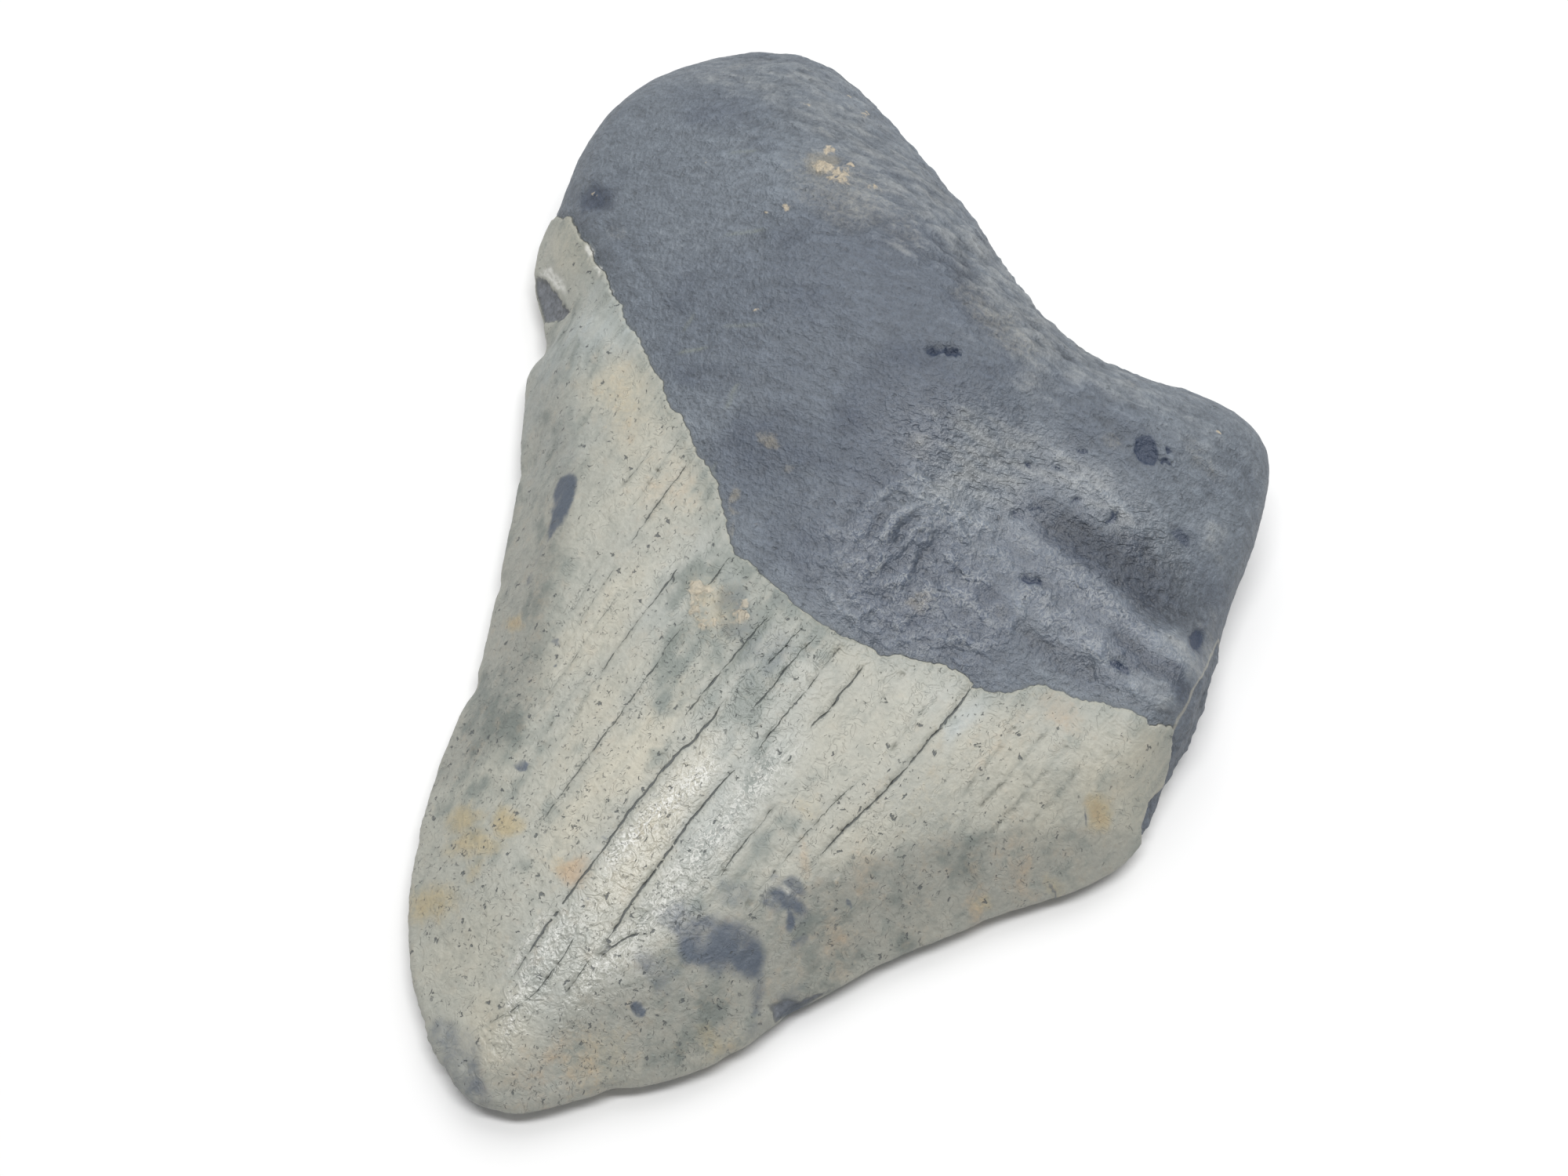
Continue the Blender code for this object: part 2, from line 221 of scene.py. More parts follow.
# Soft-edged smudges of the same mineral.
SMUDGES = [
    (18.2, -20.2, 1.5, 0.75, 15, 0.95), (18.1, -18.9, 0.95, 0.65, 20, 0.85), (17.2, -21.1, 0.8, 0.55, 0.8),
    (18.9, -21.2, 0.9, 0.35, -60, 0.85), (20.4, -21.8, 1, 0.35, 78, 0.6), (16.6, -19.4, 0.5, 0.3, 40, 0.7),
    (3.4, -42.2, 2.7, 1.3, -35, 0.5), (7.3, -43.8, 2.2, 1.1, -15, 0.68), (5.2, -43.4, 2.6, 1.2, -25, 0.55),
]
# Their faint surroundings.
SMOKY_STAINS = [
    (12.4, -26, 1.6, 1.4, 40, 0.8), (21.2, -28.2, 0.7, 1.2, 0.5), (-30, 11.2, 2.4, 1, -30, 0.25),
    (4.8, -42.4, 3.6, 1.8, -35, 0.72), (18, -20.2, 2.4, 1.8, 0.6), (4, -2.2, 2.6, 1, -20, 0.45),
    (14.6, -29.4, 1.7, 1.2, 0.55), (12.8, -25.8, 2.2, 1.8, 30, 0.75), (18.6, -27.6, 2.6, 1.4, 0.3),
    (14.2, -30, 1.2, 1, 0.6), (-14.4, -7, 1.6, 0.35, -70, 0.4), (11, -22.5, 1.2, 4, 0.3),
    (14.6, -18.6, 1.6, 1.6, 0.35), (22.6, -25, 2, 1.2, 50, 1.1), (-31.5, 13, 2.4, 1.2, -30, 0.2),
    (14.4, -11.8, 1, 2.6, 0.25), (13.2, -29.6, 2.2, 1.4, 20, 0.75), (14.6, -22.2, 2, 1.4, 40, 0.6),
    (3, -5.2, 3.6, 1.8, -40, 0.58), (6.6, -7, 2.2, 3.2, 0.58),
]
# Greyer, greener ground under the enamel's gloss: partly grey-green staining, partly painted shade, as low
# on the left facet.
GREEN_STAINS = [
    (-7, -22, 3.6, 3, 0.75), (-10.5, -19.5, 3.6, 2.6, 0.75), (1.5, -11.3, 2.4, 1.8, 0.95),
    (5.8, -4.8, 3.4, 3, 0.85), (3, -9.6, 2, 2.6, 0.8), (27, -9.6, 2.8, 1.9, -40, 0.6),
    (14, -20.5, 2.4, 3.2, 0.55), (15.2, -15.6, 1.6, 1, 0.6), (16.5, -30, 3.4, 3, 0.6),
    (29.3, 0, 1.4, 2.6, 0.45), (21, -20, 3.4, 3, -45, 0.7), (22.5, -22.5, 2.6, 2, -45, 0.7),
    (-12.6, -9, 2.2, 4.6, 30, 0.6), (-17.5, 0.5, 3, 5, 40, 0.35), (1.9, -12.2, 2, 2.6, 0.9),
    (-2, -22, 1.5, 3, 0.35), (-9, -14, 1.5, 3.5, 20, 0.4), (-4.5, -27, 3.6, 5, -20, 0.55),
    (-7.6, -25.4, 1.8, 2.4, 0.5), (4, -15, 1.4, 3.6, 0.35), (22, -29, 2.4, 1.4, -50, 0.2),
    (26, -16, 3.4, 1.8, -50, 0.55), (-24.5, 8, 3, 6, 40, 0.5), (-20, -4, 2.6, 7, 30, 0.5),
    (33, -4.5, 2, 1.6, 0.4), (0.1, -8.4, 2.2, 2.2, 1), (4, -4.6, 3.4, 2.4, -40, 1),
    (1, -1.4, 2.6, 1.4, -45, 0.8), (9, -3.4, 3.4, 1.6, -10, 0.7), (14.6, -29.6, 1.5, 1.1, 0.9),
    (17, -34, 1.6, 1.4, 0.6), (13, -23, 2.4, 1.6, 60, 0.8), (21.6, -15, 2.4, 1.2, -50, 0.4),
    (20, -1.8, 1.6, 1.2, 0.4), (-4, 0.9, 3.6, 1, -42, 0.6), (-1.4, -5, 1.8, 3.4, -10, 0.9),
    (5.5, -2.6, 3.6, 1.2, -5, 0.9), (-18, -2.5, 1.8, 5, 30, 0.6), (-23.5, 4, 1.6, 4, 40, 0.5),
    (16.2, -22, 1.8, 1.4, 0.7), (14.2, -28.6, 1.8, 1.2, 0.8), (-20.5, 1.5, 1.4, 2.4, 30, 0.4),
    (1.6, -28.6, 1.8, 1.3, 0.35), (6.4, -8.6, 2.8, 3.8, 1), (9.2, -11.5, 1.7, 3.2, 0.75),
    (11.2, -19.5, 1.5, 9, 2, 0.55),
]
# Blue-white ground.
COOL_STAINS = [
    (-24, 9.5, 3.6, 4, 0.9), (-22, 11.8, 5, 1.6, -30, 0.8), (21.6, -1.5, 0.8, 3, 0.8), (8, -10, 3, 6, 0.25),
    (-2, -5, 3, 5, 0.4), (19, -1.2, 1.2, 1.6, 0.4), (0.8, -3.4, 1.6, 1.4, 0.6), (11, -17, 2.2, 6, 0.5),
    (7, -34, 2.6, 5, 0.4), (-26, 3, 4, 6, 0.5), (-19, 1, 3, 4, 0.4),
]
# Clean cream ground, partly painted light, as on the slope beside the broken shoulder.
CREAM_STAINS = [
    (-15, 5, 5.5, 2.8, -35, 0.8), (-8, 1, 3.5, 3, -30, 0.6), (2.6, -19.5, 1.8, 8, -2, 1),
    (25, -3, 6, 4, -10, 0.5), (32.6, 1.6, 3.2, 3.6, 0.75), (16, -8, 3, 6, -10, 0.4),
    (11, -2.9, 4, 1.2, 0.6), (20, -13, 2, 3, -20, 0.5), (7.4, -22, 1.4, 8, 4, 1), (1, -36, 2.6, 3.6, 0.4),
    (6.5, -39.5, 3.4, 2.6, 0.9), (-5.5, -10, 1.8, 7, -8, 0.7), (-31, 17.6, 3.6, 1.4, -30, 0.6),
    (-1.6, -17.5, 1.4, 6, 0.6), (13.5, -37.2, 2.6, 1.6, 40, 0.3), (18, -33, 1.8, 1.8, 0.3),
    (34.4, 3.4, 1.8, 3.6, 1),
]
# Iron-warm stains, yellow to orange.
WARM_STAINS = [
    (-2.2, -27.2, 1.1, 1, 1), (-5.6, -28.6, 1.6, 1.2, 10, 0.8), (-3.4, -29.8, 2.2, 1.1, 30, 0.8),
    (-4.2, -34.8, 2.4, 1.6, 30, 0.8), (-2.5, -31.4, 0.9, 1.2, 0.5), (19.2, -31, 1.3, 1, 0.55),
    (13, -37, 3, 2.4, 40, 0.4), (3.6, -27.6, 1, 0.9, 0.5), (-12.6, -13.5, 1.2, 0.7, 0.8),
    (33, -0.7, 1.1, 1, 0.9), (29.6, -11, 1, 0.6, 45, 0.6), (15.7, -14, 1.5, 1, 0.4),
    (33.2, -6.6, 1, 0.7, 0.5), (20, -31, 1.6, 2.4, -30, 0.35), (1.4, -5.4, 3, 2, -10, 0.5),
    (22, -8, 4, 3, -40, 0.25), (17, -26, 3, 3, 0.2), (6.6, -20.5, 1.6, 4, 0.2), (-16, 5.6, 4, 2, -35, 0.35),
]
# Ruddy stains, tan to orange.
RUDDY_STAINS = [
    (4.5, -27.6, 1.3, 1.1, 1), (-17, 6.8, 2.6, 1.4, -35, 0.3), (-14, 3.8, 4, 2.2, -30, 0.2),
    (-8, 1, 2.4, 3, 0.35), (17.7, -17.2, 1.3, 0.45, -40, 0.6), (30.5, -7.5, 3, 1.4, -45, 0.4),
    (10, -41.2, 3.6, 2, 20, 0.25), (27, 3, 2.2, 1.4, 0.5), (21.6, -15.2, 2.2, 0.9, -50, 0.4),
    (29.4, -11.4, 2.4, 0.8, -48, 0.5), (22.4, -19.8, 2, 1.2, -50, 0.4), (-12.6, -13.5, 1.2, 0.7, 0.5),
    (12, -38, 2.6, 2, 0.4), (33, -0.8, 0.9, 0.8, 0.4), (24.5, -1, 1.2, 4, -10, 0.3), (5, -34, 1.6, 4, 0.2),
]
# Tan mineral crust. The strength is the share of its full thickness.
CRUSTS = [
    (-13.6, 30.4, 1.3, 0.55, 5, 0.9), (-12.2, 30.2, 1.1, 0.8, 40, 1), (-14.5, 32.3, 0.5, 0.6, 0.9),
    (-12, 31.6, 0.4, 0.7, 0.9), (-11.2, 30.1, 0.8, 0.25, -10, 0.8), (-9.2, 30.7, 0.5, 0.3, 60, 0.8),
    (-13.7, 25.3, 0.4, 0.4, 0.9), (-15.2, 24.1, 0.22, 0.16, 1), (-23.4, 26.8, 0.5, 0.25, 0.5),
    (-15.3, 38.9, 0.4, 0.9, 20, 0.6), (-17.6, 40.2, 0.3, 0.9, 20, 0.5), (-19.3, 36, 0.6, 0.4, 0.5),
    (25, 29.7, 0.25, 0.2, 0.9), (22.6, 12.1, 0.18, 0.18, 1), (0.1, 1.6, 0.22, 0.2, 1),
    (-10.2, 15.9, 0.12, 0.3, 15, 1), (-31.3, 21.3, 0.5, 0.2, 0.8), (-0.6, -5, 1, 0.8, 30, 1.1),
    (0.3, -6.3, 0.8, 0.8, -10, 1.1), (1.5, -6.9, 0.8, 0.6, 1.1), (3, -4.9, 0.6, 1.1, 20, 1),
    (2.4, -6.2, 0.5, 0.5, 0.7), (1.2, -4, 1, 0.35, 0.6), (20.3, -16.9, 0.25, 0.1, 30, 0.8),
]
# Openings and pits in the root. In place of a strength they have a depth in millimetres.
ROOT_PITS = [
    (21.2, 24.5, 1.2, 0.95, -40, 0.35), (22.5, 25.6, 0.35, 0.25, 0.3), (22.9, 24.7, 0.4, 0.22, 20, 0.3),
    (3.5, 20.3, 0.45, 0.36, 0.4), (4.9, 21.2, 0.62, 0.36, 30, 0.4), (4.2, 20.8, 0.9, 0.24, 35, 0.34),
    (-31, 20.9, 1.7, 0.9, -20, 0.13), (32.4, 15, 0.6, 1.1, 0.25), (19.7, 10.35, 0.9, 0.22, 20, 0.4),
    (27.1, 20.8, 0.9, 0.5, 0.18), (28.7, 8.6, 0.9, 0.3, 10, 0.3), (17.2, 21.3, 0.5, 0.16, 35, 0.25),
    (16.4, 19.2, 0.6, 0.2, 20, 0.2), (22, 18.4, 0.3, 0.8, -15, 0.22), (18.9, 17.9, 0.7, 0.2, 50, 0.2),
    (15.9, 14.2, 0.5, 0.22, 20, 0.2), (16.6, 15.4, 0.6, 0.16, 40, 0.25), (14.4, 17.8, 0.3, 0.16, 0.25),
]
# Pale scratches across the root: strength, half width, then the line.
ROOT_SCRATCHES = [
    (0.8, HAIR, [(-14.6, 10.6), (-12, 12)]),
    (0.7, HAIR, [(-8, 10.6), (-7.6, 7.8)]),
    (0.5, HAIR, [(-15.2, 14.4), (-15, 12.2)]),
    (0.6, HAIR, [(-17.4, 20.8), (-13.8, 23)]),
    (0.5, HAIR, [(-22, 28), (-19.4, 29.6)]),
    (0.5, HAIR, [(-6, 4.4), (-5.2, 2.4)]),
    (0.5, HAIR, [(-12.6, 13.6), (-8.6, 15.4)]),
]
# Ridges of the root, and grooves where the height is negative: height, half width, and the line.
ROOT_FOLDS = [
    (0.16, 1.2, [(16.8, 12.6), (20, 12.9), (25, 12.5), (30, 12.1), (34.2, 12)]),
    (0.13, 1.1, [(19, 9.4), (22, 9.4), (25, 9), (28, 8.8)]),
    (0.19, 0.3, [(8, 10.1), (10, 10.3), (12, 10.4), (13.6, 10.2), (15, 9.9)]),
    (0.17, 0.3, [(7.6, 11.2), (9, 11.5), (11, 11.2), (13, 11.4), (14.5, 11.8)]),
    (0.24, 0.45, [(15.6, 9.9), (16.8, 10.3), (17.9, 10)]),
    (0.2, 0.3, [(6, 6.9), (6.4, 7.6), (6.9, 8.3), (7.2, 9.6), (7.7, 10.8)]),
    (0.22, 0.3, [(8.3, 5.4), (8.6, 6.6), (8.8, 8), (9.2, 9.4)]),
    (0.19, 0.26, [(10.2, 7.6), (10.5, 9), (11.4, 9.3)]),
    (0.19, 0.28, [(9.3, 3.6), (9.8, 4.2), (9.6, 4.9)]),
    (0.22, 0.4, [(10.6, 3.3), (11.3, 3.6), (11.6, 4.6)]),
    (0.23, 0.42, [(7.1, 4.8), (7.4, 5.7)]),
    (0.22, 0.28, [(7.8, 2.6), (8.1, 3.4), (8.9, 3.6), (9.2, 2.9), (8.6, 2.4)]),
    (0.19, 0.24, [(8.6, 1.3), (9.6, 0.7), (10.8, 0.8), (11.6, 1.2)]),
    (0.2, 0.24, [(7.6, 0.2), (9, -0.4), (10.4, -0.3)]),
    (0.19, 0.28, [(12.5, 1.2), (13.2, 1.7), (13.7, 1)]),
    (0.2, 0.26, [(16.4, 2.4), (17.6, 2.9), (18.8, 3.6), (20, 3.9)]),
    (0.19, 0.45, [(14.6, 5.8), (16.2, 6.1), (18, 6), (19.4, 5.7)]),
    (0.22, 0.5, [(13.4, 8.3), (15.6, 7.6), (17, 8.4)]),
    (0.17, 0.4, [(19.6, 8.4), (20.2, 7.2), (20.3, 5.6)]),
    (0.22, 0.45, [(13, 5.4), (14.1, 4.8), (14.2, 3.6)]),
    (0.14, 0.3, [(4.8, 4.3), (5.6, 4.7)]),
    (0.16, 0.35, [(2.2, 4.9), (2.6, 5.9)]),
    (0.19, 0.5, [(26.3, 8.6), (27.4, 8.2)]),
    (0.25, 0.3, [(30, 8), (30.7, 7.4)]),
    (0.18, 1.3, [(28, 22.4), (29.6, 22.8)]),
    (0.16, 0.35, [(15.6, 19.4), (16.1, 20.1)]),
    (0.12, 0.6, [(30.2, 14.2), (33.4, 12.8)]),
    (0.14, 0.5, [(17, 18.8), (20, 19.6), (23, 19.4)]),
    (-0.38, 1.5, [(17.6, 15), (20, 15.6), (23, 16), (26, 15.7), (29, 15), (31, 14.8)]),
    (-0.22, 1.9, [(24.5, 17.6), (28, 17.8), (32, 16.5)]),
    (-0.1, 0.6, [(24.5, 13.9), (27, 13.3), (28.5, 13.7)]),
    (-0.22, 0.85, [(27, 11), (29.5, 10.3), (32, 10.3), (34.3, 10.6)]),
    (-0.18, 0.9, [(20.4, 6.9), (24, 6.5), (28, 6.9)]),
    (-0.1, 0.3, [(12, 9), (12.1, 6.5), (12.2, 4.5)]),
    (-0.19, 0.28, [(7.9, 8.8), (7.8, 6.6), (7.9, 4.6)]),
    (-0.16, 0.26, [(9.8, 9), (9.7, 6.6), (9.2, 5.2)]),
    (-0.14, 0.28, [(5.4, 5), (5.6, 7.4)]),
    (-0.19, 0.3, [(14.4, 8.6), (14.5, 7.4)]),
    (-0.05, 0.22, [(-18.5, 14.2), (-16, 14), (-14.2, 13.5), (-13.4, 12.2), (-12.9, 10.8)]),
    (-0.12, 0.26, [(28.2, 6.3), (30, 6.9), (32.5, 7.2), (34.3, 8.4)]),
    (-0.06, 0.5, [(-13, 9.6), (-10, 9.9), (-6.5, 11)]),
    (0.09, 0.5, [(-32, 20.6), (-28, 18.4), (-24.6, 16.6), (-21, 14.6), (-18.6, 13.2)]),
]
# Darker ground of the root: partly its own darker slate, partly painted shade, as in the hollow below the
# root's bulk.
ROOT_SHADES = [
    (-30.6, 20.9, 2.2, 1.1, -20, 0.9), (-25.5, 32.3, 4.6, 2.6, 5, 0.35), (-10, 10, 4, 1.2, 12, 0.4),
    (23, 15.6, 7.8, 2.3, 5, 0.9), (31.5, 18.5, 3.5, 2.6, 0.3), (31, 10.3, 4.4, 0.9, 0.9),
    (25, 6.6, 5, 1.2, 8, 0.6), (-7.5, 17, 12, 6, 10, 0.35), (3, 4, 3.2, 4.5, 0.5),
    (28.8, 8.4, 0.9, 0.6, 0.9), (27.2, 20.7, 1.1, 1, 0.4), (32.4, 15, 0.8, 1.4, 0.9),
    (-2.5, 7, 4, 5, -30, 0.6), (24, 12.2, 6, 1.4, -3, 0.5), (-1, 25, 8, 5, -30, 0.55), (4, 22, 7, 4, 0.4),
    (17, 24, 7, 3, 0.35), (-3, 14, 6, 5, 0.35), (4, 14, 5, 8, 0.7), (-6, 22, 8, 6, -20, 0.5),
    (7, 20.4, 6, 2.6, 0.5), (13.5, 4.6, 8.5, 5.2, 0.85), (5.5, 2.4, 4, 3, 0.6), (22, 11, 8, 3.2, 0.6),
]
# Paler ground of the root: partly its own paler grain, partly painted light, as on its upper slopes.
ROOT_PALES = [
    (-24, 38, 9, 4, 15, 0.65), (-10, 34, 12, 4, -22, 0.9), (4, 29.5, 10, 4, -20, 0.95),
    (12, 28, 8, 3.5, -5, 0.7), (18, 29.5, 12, 3.6, 5, 0.4), (10, 15.5, 6, 4.4, 20, 1),
    (17, 19.2, 7, 1.8, 5, 0.8), (33.4, 16.2, 2.4, 2.8, 0.9), (23.5, 9.2, 4.5, 1, -3, 0.4),
    (29, 22.6, 1.7, 1.3, 0.8), (8.4, 15, 4, 3, 1), (2, 25.4, 9, 3, -20, 0.5), (10, 23.9, 5, 2, -10, 0.8),
    (32.5, 12.8, 2.4, 1.6, 1), (32, 8.6, 2, 1, 0.8), (-5, 27.6, 6, 2.2, -15, 0.9),
    (27.5, 17.2, 2.4, 1.4, 0.3), (-18.5, 18, 5, 3, -30, 0.2),
]
# Rusty specks on the root.
ROOT_RUSTS = [
    (-3.2, 7.8, 1, 0.5, 0.8), (-0.6, 6.5, 0.5, 0.5, 0.6), (-3, 2.8, 0.5, 0.6, 0.8),
    (-2.4, 1.6, 0.7, 0.4, -40, 0.7), (14, 3.8, 1.2, 1.2, 0.6), (19, 6.6, 1, 0.8, 0.4),
    (18.8, 23.4, 1.2, 0.6, 10, 0.5), (-26.6, 18.4, 1.4, 0.7, 0.4), (6.6, 13.6, 0.8, 1.4, 0.4),
    (12, 3, 0.8, 0.5, 0.4), (-1.2, 0.2, 0.8, 0.3, -45, 0.6), (16.6, 29.4, 1.4, 0.5, 0.4),
    (25, 27, 3, 1.5, 0.4), (6, 26, 6, 2, -15, 0.5), (-6, 29, 6, 2, -25, 0.4), (-16, 34, 2, 0.8, 0.4),
    (-11.5, 29, 6, 4, -15, 0.5), (-14, 30.6, 1.6, 1.2, 0.9),
]
# Where dark specks lie thickest on the enamel.
SPECKLED = [
    (-3, -25, 11, 14, 1), (12, -34, 10, 9, 1), (2, -8, 9, 9, 0.7), (22, -16, 9, 5, -45, 0.9),
    (-16, 2, 8, 6, -35, 0.5), (27, -5, 8, 3, -45, 0.5),
]
# Where the root is wrinkled, finely pitted and grained.
WRINKLED = [
    (13, 4, 8.5, 6.5, 1), (25, 8.5, 8, 2.6, 5, 0.6), (11, 10.5, 6, 2, 0.9), (23.5, 15, 7, 2.6, 5, 0.5),
]
PITTED = [(11, 15.6, 7.5, 4.2, 10, 0.9), (21, 19, 8, 1.8, 0.8), (24, 15.5, 8, 3, 0.7)]
GRAINED = [(8, 30, 18, 5.5, -8, 1), (-14, 37, 16, 6, -20, 0.8), (-16, 29, 10, 6, -20, 0.55)]
# Where the polish keeps a sharper gloss.
GLOSSY = [
    (8.5, -10, 4, 9, 0.4), (7.4, -23, 1.7, 11, 0.85), (11.6, -23, 1.9, 8, 4, 0.5),
    (6.6, -35, 1.5, 6.5, 2, 1), (9.4, -33, 1.4, 4, 10, 0.9), (13, 5, 9, 8, 0.6), (12, 14, 8, 5, 0.75),
    (25, 10, 9, 5, 0.6), (20, 19, 9, 2.4, 0.7),
]

# Nicks worn into the edges: x, y, radius and depth in millimetres.
NICKS = [
    (-21.8, -0.6, 1, 0.35), (-28.3, 9.4, 1.2, 0.5), (-13.2, -18.7, 1.2, 0.35), (15.4, -38, 1.5, 0.35),
    (23, -26, 1, 0.3), (20.9, -30.9, 0.8, 0.2), (-17.2, -10.4, 0.9, 0.2), (30.8, -11.4, 1.2, 0.15),
    (4.2, -44, 0.8, 0.25), (0.4, -42.2, 0.7, 0.2), (9.5, -44.6, 1, 0.2), (-8.5, -31.4, 0.9, 0.18),
]
SERRATIONS = {
    "centre": (2.6, -43.4), "along": (0.84, -0.54), "reach": 4.5, "half width": 1.4, "pitch": 0.95,
    "depth": 0.05}
# The fine trench in the root along the end of the enamel.
TRENCH = {"from the enamel": 0.20, "half width": 0.18, "share of the enamel's step": 0.35}
# Wrinkles are the zero lines of a noise, bent by this many millimetres of another and this sharp.
WRINKLE_WARP = 0.7
WRINKLE_SHARPNESS = 2.2

# ---------------------------------------------------------------- how the surface is roughened

# Layers of noise: an amount in millimetres, then the noise as below.
ENAMEL_END_RAGGED = [(0.16, 0.9, 2), (0.10, 0.45, 2)]
BREAK_RAGGED = [(0.12, 1.2, 2)]
CHIP_RAGGED = [(0.16, 0.8, 3), (0.12, 0.4, 2)]
CRACK_WANDER = [(0.10, 1.5, 2), (0.08, 0.5, 2)]
ENAMEL_WAVES = [(0.035, 1.3, 3, 3, 92), (0.030, 0.7, 2, 1.2, 92, 8)]
BREAK_ROUGH = [(0.24, 1.5, 3, 1.8, 80), (0.10, 0.6, 2)]
EDGE_WAVES = [(0.10, 2.6, 2)]
# Noises: size in millimetres, octaves, then stretch, degrees of its direction and shift where they matter.
UNEVEN = (7, 3)
CRACK_BREAKS = (1.3, 2, 1, 0, 13)
ENAMEL_DENTS = (0.8, 2, 1, 0, 17)
CLOUDS = (5, 4, 1.6, 92)
SMALL_CLOUDS = (1.6, 3, 1.5, 92)
STREAKS = (1, 3, 9, 92)
WRINKLES = (1.9, 2, 1.5, 80)
SMALL_WRINKLES = (0.95, 2, 1.3, 60, 7)
WRINKLE_WARP_X = (1.9, 2, 1, 0, 11)
WRINKLE_WARP_Y = (1.9, 2, 1, 0, 23)
LEATHER = (0.75, 3, 1.9, 62, 3)
THREADS = (0.8, 3, 3.5, 12, 5)
LUMPS = (2.2, 3, 2, 0, 21)
ROOT_DENTS = (0.42, 2, 1.8, 60, 9)
BLOTCHES = (3, 4, 1.8, 5, 4)
CRUST_GRAINS = (0.55, 2)
# By how much outlines wander: reach and size in millimetres, octaves, and the shift of its northward part.
BROAD_SWAY = (0.9, 3.5, 3, 90)
FINE_SWAY = (0.22, 1.1, 3, 50)
FOLD_SWAY = (0.30, 1.3, 3, 30)
PIT_SWAY = (0.22, 0.6, 2, 40)
ROOT_SWAY = (0.8, 2.6, 3, 60)
CRUST_SWAY = (0.35, 0.7, 3, 70)


# ---------------------------------------------------------------- settings a user would change


def length_setting(name, description, millimetres, most=1.0):
    """A length setting, given in millimetres and kept in metres."""
    return FloatProperty(
        name=name, description=description, default=millimetres * MM, min=0.0, max=most * MM, precision=5,
        subtype="DISTANCE", unit="LENGTH")


def colour_setting(name, description, default):
    """A colour setting in linear red, green and blue."""
    return FloatVectorProperty(
        name=name, description=description, default=default, size=3, min=0.0, max=1.0, subtype="COLOR")


class ToothSizes(bpy.types.PropertyGroup):
    """Sizes of the worn surface."""

    spacing: length_setting("Mesh spacing", "Distance between points of the surface", 0.30, 2.0)
    enamel_step: length_setting("Enamel step", "How far the enamel stands above the root", 0.26)
    crack_depth: length_setting("Crack depth", "Depth of the deepest crack", 0.17)
    crust_thickness: length_setting("Crust thickness", "Height of the tan mineral crust", 0.22)
    wrinkle_height: length_setting("Wrinkle height", "Height of the wrinkles at the root's foot", 0.17)
    grain_height: length_setting("Grain height", "Height of the root's leathery grain", 0.10)
    unevenness: length_setting("Unevenness", "Broad unevenness of the whole surface", 0.16)


class ToothColours(bpy.types.PropertyGroup):
    """Colours of the fossil."""

    enamel: colour_setting("Enamel", "Grey-cream ground of the enamel", (0.371, 0.375, 0.331))
    enamel_cream: colour_setting("Cream enamel", "Palest cream of the enamel", (0.480, 0.454, 0.367))
    enamel_green: colour_setting("Green enamel", "Grey-green ground of the enamel", (0.205, 0.228, 0.207))
    enamel_cool: colour_setting("Cool enamel", "Blue-white ground of the enamel", (0.385, 0.425, 0.425))
    facet: colour_setting("Facet tint", "What worn facets multiply the enamel by", (0.778, 0.773, 0.775))
    stain: colour_setting("Dark stain", "Blue-grey mineral stain", (0.072, 0.092, 0.124))
    warm: colour_setting("Warm stain", "Iron-warm stain", (0.395, 0.325, 0.185))
    ruddy: colour_setting("Ruddy stain", "Tan to orange stain", (0.415, 0.300, 0.190))
    # Also the colour of the painted highlights in the glint bands.
    fresh: colour_setting("Fresh edge", "Freshly broken edges of the enamel", (0.66, 0.66, 0.62))
    crack: colour_setting("Crack", "Inside of the cracks and specks", (0.075, 0.085, 0.090))
    crust: colour_setting("Crust", "Tan mineral crust", (0.45, 0.385, 0.285))
    root: colour_setting("Root", "Slate ground of the root", (0.140, 0.163, 0.191))
    root_dark: colour_setting("Dark root", "Darker parts of the root", (0.064, 0.080, 0.110))
    root_light: colour_setting("Light root", "Paler grain of the root", (0.206, 0.217, 0.222))
    core: colour_setting("Core", "Bare core at the chips", (0.175, 0.187, 0.205))
    pit: colour_setting("Pit", "Inside of the root's openings and pits", (0.030, 0.045, 0.080))


class StageSettings(bpy.types.PropertyGroup):
    """Camera, lights and floor."""

    azimuth: FloatProperty(
        name="Camera azimuth", description="Direction the camera looks from, around the tooth",
        default=math.radians(35.1), subtype="ANGLE", unit="ROTATION")
    elevation: FloatProperty(
        name="Camera elevation", description="Camera's angle above the floor", default=math.radians(62.0),
        subtype="ANGLE", unit="ROTATION")
    distance: FloatProperty(
        name="Camera distance", description="From the camera to the point it looks at", default=179.55 * MM,
        min=50 * MM, max=2.0, precision=4, subtype="DISTANCE", unit="LENGTH")
    lens: FloatProperty(
        name="Focal length", description="Camera's focal length", default=50.0, min=20.0, max=200.0,
        subtype="DISTANCE_CAMERA", unit="CAMERA")
    floor_colour: colour_setting("Floor", "Colour of the floor", (0.83, 0.83, 0.83))
    room_strength: FloatProperty(
        name="Room light", description="Strength of the light from all around", default=0.26, min=0.0,
        max=5.0)
    overhead_power: FloatProperty(
        name="Overhead light", description="Power of the soft strip light above", default=2.6, min=0.0,
        max=100.0, subtype="POWER", unit="POWER")
    window_power: FloatProperty(
        name="Window light", description="Power of the broad light behind the root", default=3.35, min=0.0,
        max=100.0, subtype="POWER", unit="POWER")


# ---------------------------------------------------------------- shapes of the features


def ease(value, low=0.0, high=1.0):
    """Ease from 0 to 1 as value goes from low to high."""
    share = np.clip((value - low) / (high - low), 0.0, 1.0)
    return share * share * (3.0 - 2.0 * share)


def fade_ends(along, low, high, far_high=None):
    """1 along most of a line, easing down to its start and its end."""
    return ease(along, low, high) * ease(1.0 - along, low, far_high or high)


